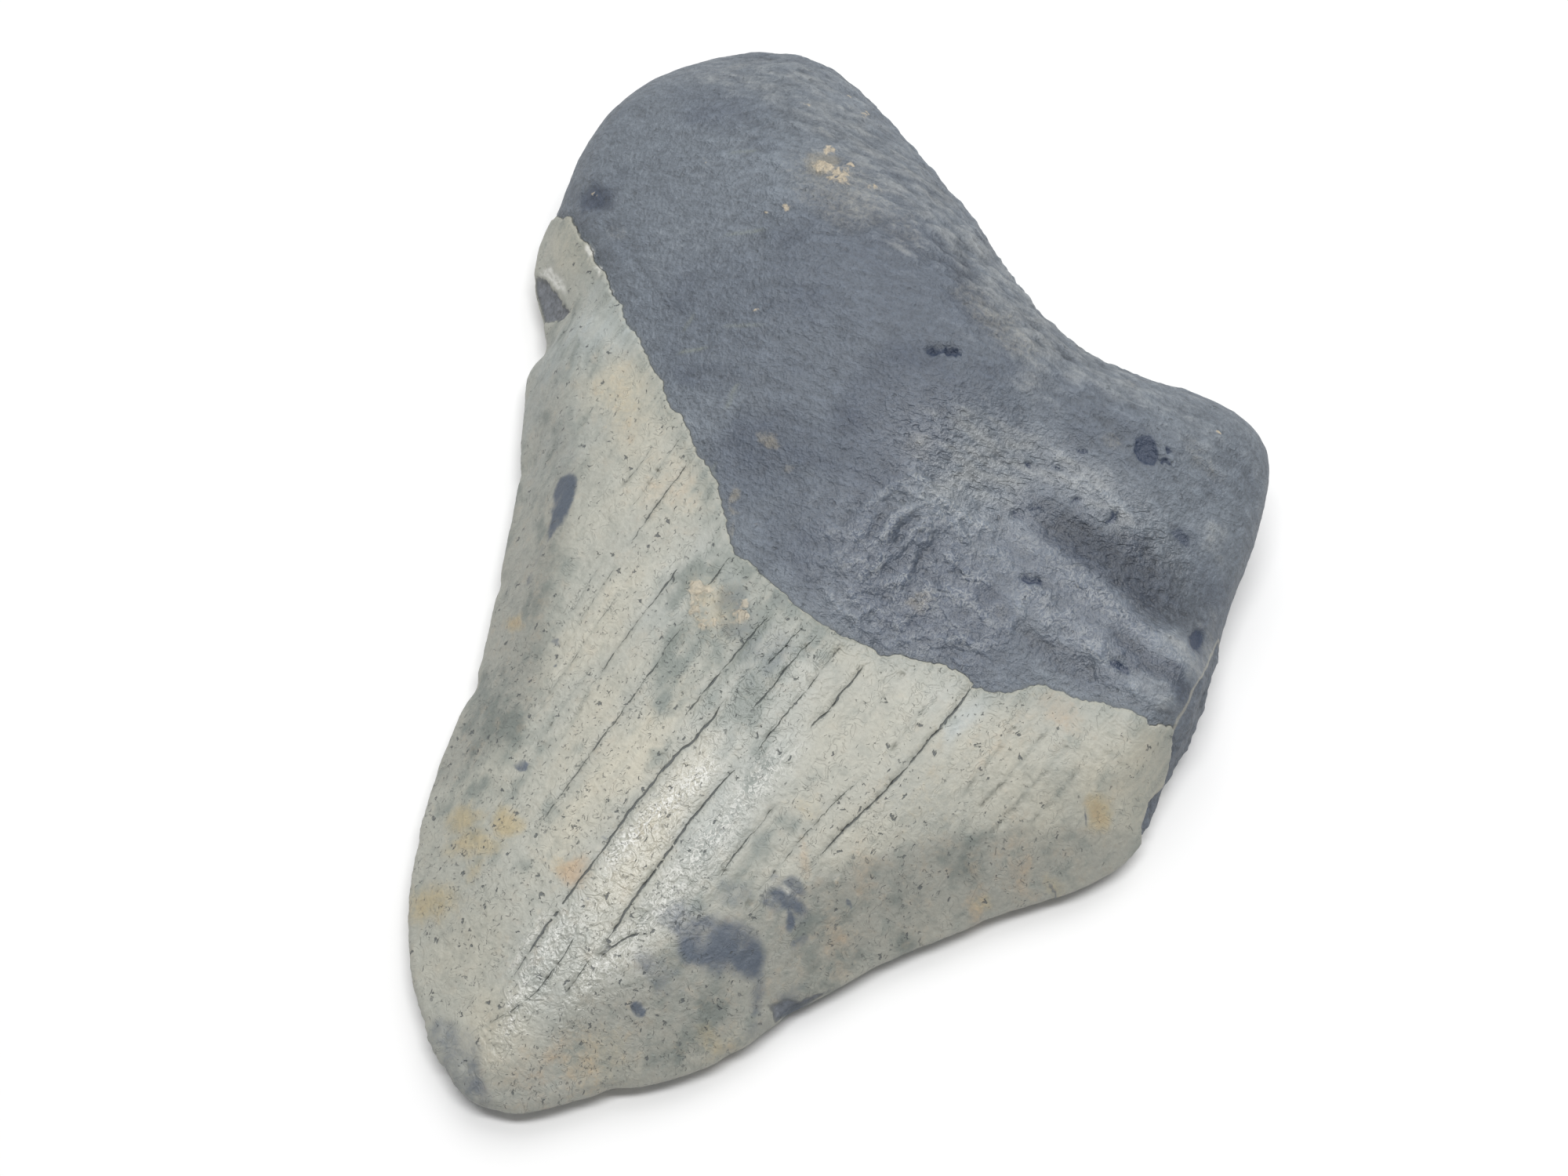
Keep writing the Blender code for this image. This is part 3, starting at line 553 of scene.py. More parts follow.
def gap_to_line(plan, line, closed=False):
    """Plan distance to a line, where the nearest point is along it (0 to 1), and that point."""
    points = np.array(line + line[:1] if closed else line, float)
    steps = np.linalg.norm(np.diff(points, axis=0), axis=1)
    reached = np.concatenate([[0.0], np.cumsum(steps)])
    gap = np.full(len(plan), np.inf)
    along = np.zeros(len(plan))
    nearest = np.zeros_like(plan)
    for start, end, step, before in zip(points[:-1], points[1:], steps, reached):
        share = np.clip(((plan - start) @ (end - start)) / step**2, 0.0, 1.0)
        foot = start + share[:, None] * (end - start)
        distance = np.linalg.norm(plan - foot, axis=1)
        closer = distance < gap
        gap[closer] = distance[closer]
        along[closer] = (before + share[closer] * step) / reached[-1]
        nearest[closer] = foot[closer]
    return gap, along, nearest


def depth_inside(plan, corners):
    """Plan distance inside a closed outline, negative outside it."""
    inside = np.zeros(len(plan), bool)
    x, y = plan.T
    for (x0, y0), (x1, y1) in zip(corners, corners[1:] + corners[:1]):
        if y0 != y1:
            crosses = (y0 > y) != (y1 > y)
            inside ^= crosses & (x < (x1 - x0) * (y - y0) / (y1 - y0) + x0)
    gap, _, _ = gap_to_line(plan, corners, closed=True)
    return np.where(inside, gap, -gap)


def ovals(plan, marks, edge):
    """The strongest of several oval marks, each easing to 0 over a share of its size at its edge."""
    strongest = np.zeros(len(plan))
    for x, y, length, width, *turn, amount in marks:
        turn = math.radians(turn[0] if turn else 0.0)
        reach = max(length, width) * (1.0 + edge)
        near = np.nonzero(np.abs(plan - (x, y)).max(axis=1) < reach)[0]
        offset = plan[near] - (x, y)
        along = offset[:, 0] * math.cos(turn) + offset[:, 1] * math.sin(turn)
        across = offset[:, 1] * math.cos(turn) - offset[:, 0] * math.sin(turn)
        radius = np.hypot(along / length, across / width)
        felt = amount * (1.0 - ease(radius, 1.0 - edge, 1.0 + edge))
        strongest[near] = np.maximum(strongest[near], felt)
    return strongest


def drawn_lines(plan, lines, fade):
    """The strongest of several soft lines, each fading to 0 over this share of its length at its ends."""
    strongest = np.zeros(len(plan))
    for strength, width, line in lines:
        gap, along, _ = gap_to_line(plan, line)
        felt = strength * fade_ends(along, 0.0, fade) * np.exp(-((gap / width) ** 2))
        strongest = np.maximum(strongest, felt)
    return strongest


def filled_shapes(plan, shapes):
    """The strongest of several outlined marks, each easing to 0 across its soft border."""
    strongest = np.zeros(len(plan))
    for amount, softness, corners in shapes:
        felt = amount * ease(depth_inside(plan, corners), -softness, softness)
        strongest = np.maximum(strongest, felt)
    return strongest


def rumple(place, size, octaves, stretch=1.0, turn=0.0, shift=0.0):
    """Smooth noise of about -1 to 1: features of this size, stretched along a direction in plan."""
    turn = math.radians(turn)
    along = place[:, 0] * math.cos(turn) + place[:, 1] * math.sin(turn)
    across = place[:, 1] * math.cos(turn) - place[:, 0] * math.sin(turn)
    scaled = np.stack([along / stretch, across, place[:, 2]], axis=1) / size + shift
    return np.array([noise.fractal(Vector(point), 1.0, 2.0, octaves) for point in scaled.tolist()])


class Skin:
    """The tooth's surface as arrays: places in millimetres, how far to push each out, and paint marks."""

    def __init__(self, mesh):
        self.mesh = mesh
        count = len(mesh.vertices)
        place = np.empty(count * 3, np.float32)
        mesh.vertices.foreach_get("co", place)
        self.place = place.reshape(-1, 3).astype(float) / MM
        normal = np.empty(count * 3, np.float32)
        mesh.vertex_normals.foreach_get("vector", normal)
        self.normal = normal.reshape(-1, 3).astype(float)
        self.push = np.zeros(count)
        self.relief = np.zeros(count)
        self.marks = {}

    @property
    def plan(self):
        return self.place[:, :2]

    @property
    def inner(self):
        """1 on the rounded inner face, 0 on the flat outer face."""
        return ease(self.normal[:, 2], -0.25, 0.15)

    @property
    def steepness(self):
        """0 where the surface is level, 1 where it is upright."""
        return np.hypot(self.normal[:, 0], self.normal[:, 1])

    def noise(self, numbers):
        """One of the noises listed above, at each point."""
        return rumple(self.place, *numbers)

    def layers(self, numbers):
        """Several noises, each times its amount."""
        return sum(amount * self.noise(noise) for amount, *noise in numbers)

    def sway(self, numbers):
        """Noise in x and in y, by which outlines wander."""
        reach, size, octaves, shift = numbers
        east = self.noise((size, octaves))
        north = self.noise((size, octaves, 1, 0, shift))
        return reach * np.stack([east, north], axis=1)

    def carve(self, amount):
        """Push the surface out by a fine relief, which is also kept for the painted shade in its hollows and
        the painted light on its crests.
        """
        self.push += amount
        self.relief += amount

    def settle(self):
        """Move the points by what they are pushed."""
        self.place += self.normal * self.push[:, None]
        self.push[:] = 0.0
        self.mesh.vertices.foreach_set("co", (self.place * MM).astype(np.float32).ravel())
        self.mesh.update()

    def store_marks(self):
        for name, values in self.marks.items():
            attribute = self.mesh.attributes.new(name, "FLOAT", "POINT")
            attribute.data.foreach_set("value", values.astype(np.float32))


# ---------------------------------------------------------------- the tooth's mesh


def apply_modifiers(piece):
    """Bake a piece's modifiers into its mesh."""
    bpy.context.view_layer.update()
    mesh = bpy.data.meshes.new_from_object(piece.evaluated_get(bpy.context.evaluated_depsgraph_get()))
    old = piece.data
    piece.modifiers.clear()
    piece.data = mesh
    bpy.data.meshes.remove(old)


def dense_surface(node, spacing):
    """A dense, even and smooth surface over a node, coarser on the face it lies on."""
    piece = bpy.data.objects.new("tooth_surface", node.data.copy())
    bpy.context.scene.collection.objects.link(piece)
    dense = piece.modifiers.new("dense", "REMESH")
    dense.mode = "VOXEL"
    dense.voxel_size = spacing
    soften = piece.modifiers.new("soften", "SMOOTH")
    soften.factor = 0.5
    soften.iterations = SOFTENINGS
    apply_modifiers(piece)
    swell_to(piece, node)
    thin_underside(piece)
    return piece


def swell_to(piece, node):
    """Make good what smoothing took away: push a smooth surface back out to the solid it came from."""
    skin = Skin(piece.data)
    solid = BVHTree.FromPolygons(
        [tuple(vert.co) for vert in node.data.vertices],
        [tuple(face.vertices) for face in node.data.polygons])
    found = np.array([solid.find_nearest(vert.co)[0] for vert in piece.data.vertices]) / MM
    lost = np.einsum("ij,ij->i", found - skin.place, skin.normal)
    ends = np.empty(len(piece.data.edges) * 2, np.int32)
    piece.data.edges.foreach_get("vertices", ends)
    first, second = ends.reshape(-1, 2).T
    count = np.bincount(ends, minlength=len(lost))
    for _ in range(SWELL_SMOOTHINGS):
        around = np.bincount(first, lost[second], len(lost)) + np.bincount(second, lost[first], len(lost))
        lost = 0.5 * lost + 0.5 * around / count
    skin.push = lost
    skin.settle()


def thin_underside(piece):
    """Take points out of the flat outer face, where there is little relief."""
    skin = Skin(piece.data)
    under = piece.vertex_groups.new(name="under")
    under.add(np.nonzero(skin.normal[:, 2] < LYING_FACE)[0].tolist(), 1.0, "ADD")
    triangles = sum(len(face.vertices) - 2 for face in piece.data.polygons)
    thin = piece.modifiers.new("thin", "DECIMATE")
    thin.ratio = min(1.0, MOST_TRIANGLES / triangles)
    thin.vertex_group = "under"
    thin.vertex_group_factor = 1.0
    apply_modifiers(piece)
    piece.vertex_groups.clear()


# ---------------------------------------------------------------- the surface's features


def mark_enamel(skin):
    """Mark how far inside the enamel each place is, in millimetres, and how far beyond the break."""
    gap, _, _ = gap_to_line(skin.plan, INNER_ENAMEL_END)
    line = np.array(INNER_ENAMEL_END)
    x, y = skin.plan.T
    side = np.sign(np.interp(x, line[:, 0], line[:, 1]) - y)
    middle = (OUTER_END_LEFT + OUTER_END_RIGHT) / 2.0
    lean = (OUTER_END_RIGHT - OUTER_END_LEFT) / (2.0 * OUTER_END_X)
    outer = middle + lean * x - OUTER_END_SAG * (1.0 - (x / OUTER_END_X) ** 2) - y
    crown = side * gap * skin.inner + outer * (1.0 - skin.inner)
    crown += skin.layers(ENAMEL_END_RAGGED)
    edge = np.array(BREAK_EDGE)
    beyond = x - np.interp(y, edge[:, 1], edge[:, 0]) + skin.layers(BREAK_RAGGED)
    skin.marks["broken"] = np.clip(beyond, -3.0, 3.0)
    skin.marks["crown"] = np.clip(np.minimum(crown, -beyond), -4.0, 4.0)


def crack_enamel(skin, depth):
    """Draw the cracks, pull the nearest points onto each crack's line, and cut a groove along it."""
    crack = np.zeros(len(skin.place))
    on_inner = skin.inner > 0.5
    wander = skin.layers(CRACK_WANDER)
    broken_up = skin.noise(CRACK_BREAKS)
    for strength, line in CRACKS:
        low = np.min(line, axis=0) - 1.0
        high = np.max(line, axis=0) + 1.0
        near = np.nonzero(on_inner & np.all((skin.plan > low) & (skin.plan < high), axis=1))[0]
        wandered = skin.plan[near] + wander[near, None] * (1.0, 0.0)
        gap, along, foot = gap_to_line(wandered, line)
        ends = fade_ends(along, -0.03, 0.10, 0.16)
        size = FAINTEST_CRACK + (strength - FAINTEST_CRACK) * ends * (1.0 + 0.45 * broken_up[near])
        touching = (gap < CRACK_PULL) & (along > 0.0) & (along < 1.0)
        skin.place[near[touching], :2] += (foot - wandered)[touching]
        gap = np.where(touching, 0.0, gap)
        crack[near] = np.maximum(crack[near], size - gap / CRACK_REACH)
    crack = np.clip(crack, 0.0, 1.0)
    skin.marks["crack"] = crack
    on_crown = ease(skin.marks["crown"], -0.1, 0.2)
    skin.carve(-depth * on_crown * ease(crack, FAINTEST_CRACK, 1.0))


def chip_enamel(skin):
    """Sink the chips and mark their bare core."""
    chipped = np.zeros(len(skin.place))
    ragged = skin.layers(CHIP_RAGGED)
    for depth, softness, corners in CHIPS:
        inside = depth_inside(skin.plan, corners) + ragged
        bared = ease(inside, -softness, softness) * skin.inner
        skin.carve(-depth * bared)
        chipped = np.maximum(chipped, bared)
    skin.marks["chipped"] = chipped


def stain_enamel(skin):
    """Mark the stains and the ground colours of the enamel."""
    broad = skin.sway(BROAD_SWAY)
    near = skin.plan + skin.sway(FINE_SWAY)
    far = near + broad
    small_clouds = skin.noise(SMALL_CLOUDS)
    marks = skin.marks
    dark = np.maximum(ovals(near, DARK_STAINS, 0.28), 0.8 * ovals(far, SMOKY_STAINS, 0.65))
    dark = np.maximum(dark, ovals(near + 0.3 * broad, SMUDGES, 0.6))
    dark = np.maximum(dark, filled_shapes(near, LARGE_STAINS))
    marks["dark"] = dark * (0.94 + 0.40 * small_clouds)
    marks["warm"] = ovals(near + 0.5 * broad, WARM_STAINS, 0.8)
    marks["ruddy"] = ovals(near + 0.5 * broad, RUDDY_STAINS, 0.8)
    marks["fresh"] = drawn_lines(near, BRIGHT_EDGES, 0.3)
    marks["glint"] = drawn_lines(near, GLINTS, 0.2)
    facet = filled_shapes(near + 0.35 * broad, FACETS)
    # The facet tint, partly painted shade, eases off where the surface is steep.
    marks["facet"] = facet * skin.inner * (1.0 - 0.7 * ease(skin.steepness, 0.60, 0.95))
    mark_ground(skin, far, facet, small_clouds)


def mark_ground(skin, plan, facet, small_clouds):
    """Mark where the enamel's ground is blue-white, cream, grey-green and speckled; the cream and grey-green
    are partly painted light and shade.
    """
    streaks = skin.noise(STREAKS)
    clouds = skin.noise(CLOUDS)
    cool = ovals(plan, COOL_STAINS, 0.6) * (0.8 + 0.5 * streaks)
    cream = ovals(plan, CREAM_STAINS, 0.6) * (0.68 + 0.30 * streaks) + 0.20 * ease(-clouds, 0.0, 0.8)
    green = ovals(plan, GREEN_STAINS, 0.65)
    green *= 0.75 + 0.55 * streaks * (1.0 - 0.8 * facet) + 0.45 * small_clouds
    green += 0.16 * ease(clouds, 0.05, 0.7) + 0.30 * ease(small_clouds, 0.05, 0.8)
    speckled = ovals(skin.plan, SPECKLED, 0.5) + 0.4 * clouds
    for name, values in (("cool", cool), ("cream", cream), ("green", green), ("speckled", speckled)):
        skin.marks[name] = np.clip(values, 0.0, 1.0)


def fold_root(skin, on_root):
    """Raise the root's ridges and sink its grooves."""
    ragged = skin.sway(FOLD_SWAY)
    for height, width, line in ROOT_FOLDS:
        gap, along, _ = gap_to_line(skin.plan + ragged, line)
        ends = fade_ends(along, -0.05, 0.15)
        skin.carve(height * np.exp(-((gap / width) ** 2)) * (0.25 + 0.75 * ends) * on_root)


def pit_root(skin, on_root):
    """Sink the root's openings and pits."""
    crooked = skin.sway(PIT_SWAY)
    sunk = np.zeros(len(skin.place))
    for *oval, depth in ROOT_PITS:
        pit = ovals(skin.plan + crooked, [(*oval, 1.0)], 0.22) * on_root
        sunk = np.maximum(sunk, pit * min(1.0, depth / DARKEST_PIT))
        skin.push -= depth * pit
    skin.marks["pit"] = sunk


def grain_root(skin, on_root, wrinkle_height, grain_height):
    """Wrinkle, pit finely and grain the root."""
    marks = skin.marks
    marks["wrinkled"] = wrinkled = ovals(skin.plan, WRINKLED, 0.45)
    marks["pitted"] = pitted = ovals(skin.plan + 2.0 * skin.sway(FOLD_SWAY), PITTED, 0.5)
    marks["grained"] = grained = ovals(skin.plan, GRAINED, 0.5)
    level = np.zeros(len(skin.place))
    warp = WRINKLE_WARP * np.stack(
        [skin.noise(WRINKLE_WARP_X), skin.noise(WRINKLE_WARP_Y), level], axis=1)
    crests = 1.0 - WRINKLE_SHARPNESS * np.abs(rumple(skin.place + warp, *WRINKLES))
    small_crests = 1.0 - WRINKLE_SHARPNESS * np.abs(rumple(skin.place + warp, *SMALL_WRINKLES))
    dents = ease(rumple(skin.place + 0.4 * warp, *ROOT_DENTS), 0.12, 0.5)
    leather_share = 0.40 + 0.1 * pitted + 0.1 * wrinkled + 0.7 * grained
    skin.carve(wrinkle_height * wrinkled * (0.60 * crests + 0.30 * small_crests - 0.3) * on_root)
    skin.carve(grain_height * leather_share * skin.noise(LEATHER) * on_root)
    skin.carve(grain_height * (0.30 + 1.9 * grained) * skin.noise(THREADS) * on_root)
    skin.carve(grain_height * 1.6 * grained * skin.noise(LUMPS) * on_root)
    skin.carve(-FINE_PIT_DEPTH * pitted * dents * on_root)


def shape_root(skin, wrinkle_height, grain_height):
    """Give the root all its relief."""
    on_root = ease(-skin.marks["crown"], 0.0, 0.35) * skin.inner
    fold_root(skin, on_root)
    pit_root(skin, on_root)
    grain_root(skin, on_root, wrinkle_height, grain_height)


def colour_root(skin):
    """Mark the root's dark, pale and rusty ground; the dark and pale marks are partly painted shade and
    light.
    """
    sway = skin.sway(ROOT_SWAY)
    plan = skin.plan + sway
    blotches = skin.noise(BLOTCHES)
    shade = ovals(plan, ROOT_SHADES, 0.4) + 0.22 * ease(-blotches, 0.0, 0.8)
    pale = ovals(plan, ROOT_PALES, 0.6) * (0.6 + 0.7 * skin.noise(THREADS))
    skin.marks["scratched"] = drawn_lines(skin.plan + 0.05 * sway, ROOT_SCRATCHES, 0.3)
    skin.marks["shade"] = np.clip(shade, 0.0, 1.0)
    skin.marks["pale"] = np.clip(pale + 0.15 * ease(blotches, 0.1, 0.9), 0.0, 1.0)
    skin.marks["rust"] = ovals(plan, ROOT_RUSTS, 0.6)


def crust_surface(skin, thickness):
    """Build up the tan mineral crust, broken into grains."""
    grains = skin.noise(CRUST_GRAINS)
    crust = ovals(skin.plan + skin.sway(CRUST_SWAY), CRUSTS, 0.45) * skin.inner
    crust = np.clip(crust * (0.75 + 0.55 * grains), 0.0, 1.0)
    skin.marks["crust"] = crust
    skin.push += thickness * crust * (0.8 + 0.6 * grains)


def nick_edges(skin):
    """Nick the edges and make them a little uneven."""
    for x, y, radius, depth in NICKS:
        near = np.exp(-np.sum((skin.plan - (x, y)) ** 2, axis=1) / radius**2)
        skin.push -= depth * near * ease(skin.steepness, 0.3, 0.9)
    on_crown = ease(skin.marks["crown"], 0.0, 0.5)
    skin.push += skin.layers(EDGE_WAVES) * ease(skin.steepness, 0.6, 0.98) * on_crown


def serrate_tip(skin):
    """Leave a few worn serrations beside the tip."""
    offset = skin.plan - SERRATIONS["centre"]
    ahead = np.array(SERRATIONS["along"])
    along = offset @ ahead
    across = offset @ np.array((-ahead[1], ahead[0]))
    near = ease(SERRATIONS["reach"] - np.abs(along), 0.0, 1.5)
    near *= np.exp(-((across / SERRATIONS["half width"]) ** 2)) * ease(skin.steepness, 0.5, 0.95)
    skin.push += SERRATIONS["depth"] * np.cos(2.0 * math.pi * along / SERRATIONS["pitch"]) * near


def roughen_enamel(skin):
    """Give the enamel a faint waviness drawn out along the tooth, and shallow dents."""
    on_crown = ease(skin.marks["crown"], 0.0, 0.4) * (1.0 - 0.8 * ease(skin.steepness, 0.5, 0.9))
    skin.carve(skin.layers(ENAMEL_WAVES) * on_crown)
    skin.carve(-ENAMEL_DENT_DEPTH * ease(skin.noise(ENAMEL_DENTS), 0.38, 0.62) * on_crown)


def roughen_break(skin):
    """Roughen the broken shoulder's bare core."""
    skin.carve(ease(skin.marks["broken"], -0.1, 0.25) * skin.layers(BREAK_ROUGH))


def raise_enamel(skin, step):
    """Lift the enamel above the root, with a fine trench where they meet."""
    crown = skin.marks["crown"]
    away = (crown + TRENCH["from the enamel"]) / TRENCH["half width"]
    skin.push += step * (ease(crown, -0.10, 0.16) - 0.5)
    skin.push -= TRENCH["share of the enamel's step"] * step * np.exp(-(away**2))


def keep_resting_face(skin):
    """Keep the face that the tooth rests on close to flat."""
    flat = ease(-skin.normal[:, 2], 0.9, 0.99) * ease(0.3 - skin.place[:, 2], 0.0, 0.3)
    skin.push *= 1.0 - 0.85 * flat


def mark_gloss(skin):
    """Mark where the surface is glossiest, and the hollows and crests of the fine relief, for painted shade
    and painted light.
    """
    skin.marks["gloss"] = ovals(skin.plan, GLOSSY, 0.6)
    skin.marks["cavity"] = np.clip(skin.relief / FULL_RELIEF_SHADING, -1.0, 1.0)


def feature_surface(piece, sizes):
    """Give the dense surface all its features and marks."""
    skin = Skin(piece.data)
    skin.push += (sizes.unevenness / MM) * skin.noise(UNEVEN)
    mark_enamel(skin)
    crack_enamel(skin, sizes.crack_depth / MM)
    raise_enamel(skin, sizes.enamel_step / MM)
    stain_enamel(skin)
    chip_enamel(skin)
    roughen_enamel(skin)
    shape_root(skin, sizes.wrinkle_height / MM, sizes.grain_height / MM)
    colour_root(skin)
    crust_surface(skin, sizes.crust_thickness / MM)
    nick_edges(skin)
    serrate_tip(skin)
    roughen_break(skin)
    mark_gloss(skin)
    keep_resting_face(skin)
    skin.settle()
    skin.store_marks()


def stand_on_floor(piece):
    """Drop or lift the piece so its lowest point is on the floor."""
    lowest = min(vert.co.z for vert in piece.data.vertices)
    piece.data.transform(Matrix.Translation((0.0, 0.0, -lowest)))


# ---------------------------------------------------------------- node helpers


class Wiring:
    """Adds nodes to one tree. Inputs may be sockets or plain values."""

    def __init__(self, tree):
        self.tree = tree

    def feed(self, socket, value):
        """Link a socket to this input, or set its value."""
        if isinstance(value, bpy.types.NodeSocket):
            self.tree.links.new(value, socket)
        elif value is not None:
            socket.default_value = value

    def node(self, kind, inputs=None, **settings):
        """A node with these inputs and settings."""
        node = self.tree.nodes.new(kind)
        for name, value in settings.items():
            setattr(node, name, value)
        for name, value in (inputs or {}).items():
            self.feed(node.inputs[name], value)
        return node

    def math(self, operation, first, second=None):
        return self.node("ShaderNodeMath", {0: first, 1: second}, operation=operation).outputs[0]

    def chain(self, operation, values):
        """Join several values by the same operation."""
        return functools.reduce(lambda first, second: self.math(operation, first, second), values)

    def sum(self, *values):
        return self.chain("ADD", values)

    def times(self, *values):
        return self.chain("MULTIPLY", values)

    def most(self, *values):
        return self.chain("MAXIMUM", values)

    def swing(self, value, size):
        """Centre a 0 to 1 value on 0 and scale it."""
        return self.times(self.math("SUBTRACT", value, 0.5), size)

    def band(self, value, low, high, start=0.0, end=1.0):
        """Ease from start to end as value goes from low to high."""
        return self.node(
            "ShaderNodeMapRange",
            {"Value": value, "From Min": low, "From Max": high, "To Min": start, "To Max": end},
            interpolation_type="SMOOTHSTEP").outputs["Result"]

    def blend(self, amount, first, second, mode="MIX"):
        """Mix two colours."""
        inputs = {0: amount, 6: first, 7: second}
        return self.node("ShaderNodeMix", inputs, data_type="RGBA", blend_type=mode).outputs[2]

    def lerp(self, amount, first, second):
        """Mix two values."""
        return self.node("ShaderNodeMix", {0: amount, 2: first, 3: second}, data_type="FLOAT").outputs[0]

    def brighten(self, colour, factor):
        """Multiply a colour by one value."""
        grey = self.node("ShaderNodeCombineColor", {"Red": factor, "Green": factor, "Blue": factor})
        return self.blend(1.0, colour, grey.outputs[0], "MULTIPLY")

    def stretch(self, vector, scale):
        """A place scaled along each axis."""
        return self.node("ShaderNodeVectorMath", {0: vector, 1: scale}, operation="MULTIPLY").outputs[0]

    def turned(self, vector, degrees):
        """A place turned about the vertical."""
        return self.node("ShaderNodeVectorRotate", {
            "Vector": vector, "Angle": math.radians(degrees)}, rotation_type="Z_AXIS").outputs[0]

    def cloud(self, vector, scale, detail=2.0, roughness=0.5, distortion=0.0):
        """Noise from 0 to 1."""
        return self.node("ShaderNodeTexNoise", {
            "Vector": vector, "Scale": scale, "Detail": detail, "Roughness": roughness,
            "Distortion": distortion}).outputs["Fac"]

    def paint(self, colour, *coats):
        """Lay coats of plain colour, given as (amount, colour), over a colour."""
        for amount, coat in coats:
            colour = self.blend(amount, colour, rgba(coat))
        return colour

    def mark(self, name):
        """One of the marks painted on the mesh."""
        return self.node("ShaderNodeAttribute", attribute_name=name).outputs["Fac"]

    def group(self, group, inputs):
        """Place a node group and return its outputs."""
        return self.node("ShaderNodeGroup", inputs, node_tree=group).outputs


def new_group(name, inputs, outputs):
    """An empty shader node group: sockets as (name, kind, default)."""
    group = bpy.data.node_groups.new(name, "ShaderNodeTree")
    for direction, sockets in (("INPUT", inputs), ("OUTPUT", outputs)):
        for socket_name, kind, default in sockets:
            socket = group.interface.new_socket(
                socket_name, in_out=direction, socket_type="NodeSocket" + kind)
            if default is not None:
                socket.default_value = default
    given = group.nodes.new("NodeGroupInput").outputs
    result = group.nodes.new("NodeGroupOutput").inputs
    return group, Wiring(group), given, result


def rgba(colour):
    return (*colour, 1.0)


# ---------------------------------------------------------------- effects shared by enamel and root


def pepper_group():
    """Sparse tiny specks: pits and dark grains, from 0 to 1."""
    group, wire, given, result = new_group(
        "Pepper",
        [("Vector", "Vector", None), ("Specks per mm", "Float", 0.8), ("Radius in mm", "Float", 0.12),
         ("Share kept", "Float", 0.5)],
        [("Mask", "Float", None)])
    cells = wire.node("ShaderNodeTexVoronoi", {
        "Vector": given["Vector"], "Scale": given["Specks per mm"], "Randomness": 1.0},
        feature="F1", voronoi_dimensions="2D")
    chance = wire.node("ShaderNodeSeparateColor", {"Color": cells.outputs["Color"]})
    kept = wire.math("LESS_THAN", chance.outputs["Red"], given["Share kept"])
    radius = wire.times(given["Radius in mm"], wire.lerp(chance.outputs["Green"], 0.4, 1.3))
    near = wire.math("DIVIDE", cells.outputs["Distance"], wire.times(radius, given["Specks per mm"]))
    wire.feed(result["Mask"], wire.times(kept, wire.band(near, 1.2, 0.55)))
    return group


def squiggle_group():
    """Hair-thin wandering lines, from a curled noise."""
    group, wire, given, result = new_group(
        "Squiggles",
        [("Curl", "Float", 0.5), ("Patches", "Float", 0.5), ("Width", "Float", 0.02)],
        [("Mask", "Float", None)])
    off_line = wire.math("ABSOLUTE", wire.swing(given["Curl"], 1.0))
    line = wire.band(off_line, given["Width"], wire.times(given["Width"], 0.3))
    wire.feed(result["Mask"], wire.times(line, wire.band(given["Patches"], 0.45, 0.62)))
    return group


# ---------------------------------------------------------------- enamel and root

# Sockets of the enamel and root groups: name, kind, default. Those of the marks are named after them.
TEXTURES = [
    ("Vector", "Vector", None), ("Fine", "Float", 0.5), ("Curl", "Float", 0.5), ("Crests", "Float", 0.0),
    ("Specks", "Float", 0.0),
]
FINISH = [("Color", "Color", None), ("Roughness", "Float", None), ("Height", "Float", None)]
ENAMEL_MARKS = (
    "Dark", "Green", "Warm", "Ruddy", "Cool", "Cream", "Facet", "Crack", "Gloss", "Glint", "Cavity",
    "Crown")
ROOT_MARKS = (
    "Wrinkled", "Pitted", "Grained", "Pit", "Crown", "Shade", "Pale", "Rust", "Scratched", "Gloss",
    "Cavity")


def mask_sockets(*names):
    """Group sockets for values that are 0 unless given."""
    return [(name, "Float", 0.0) for name in names]


def enamel_ground(wire, given, colours, streak, mottle):
    """The enamel's ground, from cream and blue-white to grey-green, with its greyer worn facets; the cream,
    the grey-green and the facets' tint are partly painted light and shade.
    """
    uneven = wire.swing(mottle, wire.lerp(given["Facet"], 0.4, 1.0))
    green = wire.sum(given["Green"], wire.swing(streak, 0.5), uneven)
    colour = wire.paint(
        rgba(colours.enamel),
        (given["Cream"], colours.enamel_cream),
        (wire.times(given["Cool"], 0.85), colours.enamel_cool),
        (wire.band(green, 0.10, 1.05), colours.enamel_green))
    return wire.blend(given["Facet"], colour, wire.blend(1.0, colour, rgba(colours.facet), "MULTIPLY"))


def enamel_stains(wire, given, colours, mottle, colour):
    """Warm, ruddy, grey-green and dark mineral stains over the ground."""
    fine = given["Fine"]
    warm = wire.sum(given["Warm"], wire.swing(fine, 0.5), wire.swing(mottle, -0.5))
    ruddy = wire.sum(given["Ruddy"], wire.swing(fine, 0.5), wire.swing(mottle, -0.8))
    dark = wire.math("ADD", given["Dark"], wire.swing(fine, 0.45))
    blotch = wire.lerp(given["Facet"], 0.25, 0.45)
    return wire.paint(
        colour,
        (wire.times(wire.band(warm, 0.10, 1.05), 0.8), colours.warm),
        (wire.times(wire.band(ruddy, 0.10, 1.10), 0.75), colours.ruddy),
        (wire.times(wire.band(mottle, 0.50, 0.72), blotch), colours.enamel_green),
        (wire.times(wire.band(mottle, 0.48, 0.28), blotch, 0.35), colours.ruddy),
        (wire.times(wire.band(dark, 0.22, 0.95), 0.95), colours.stain))


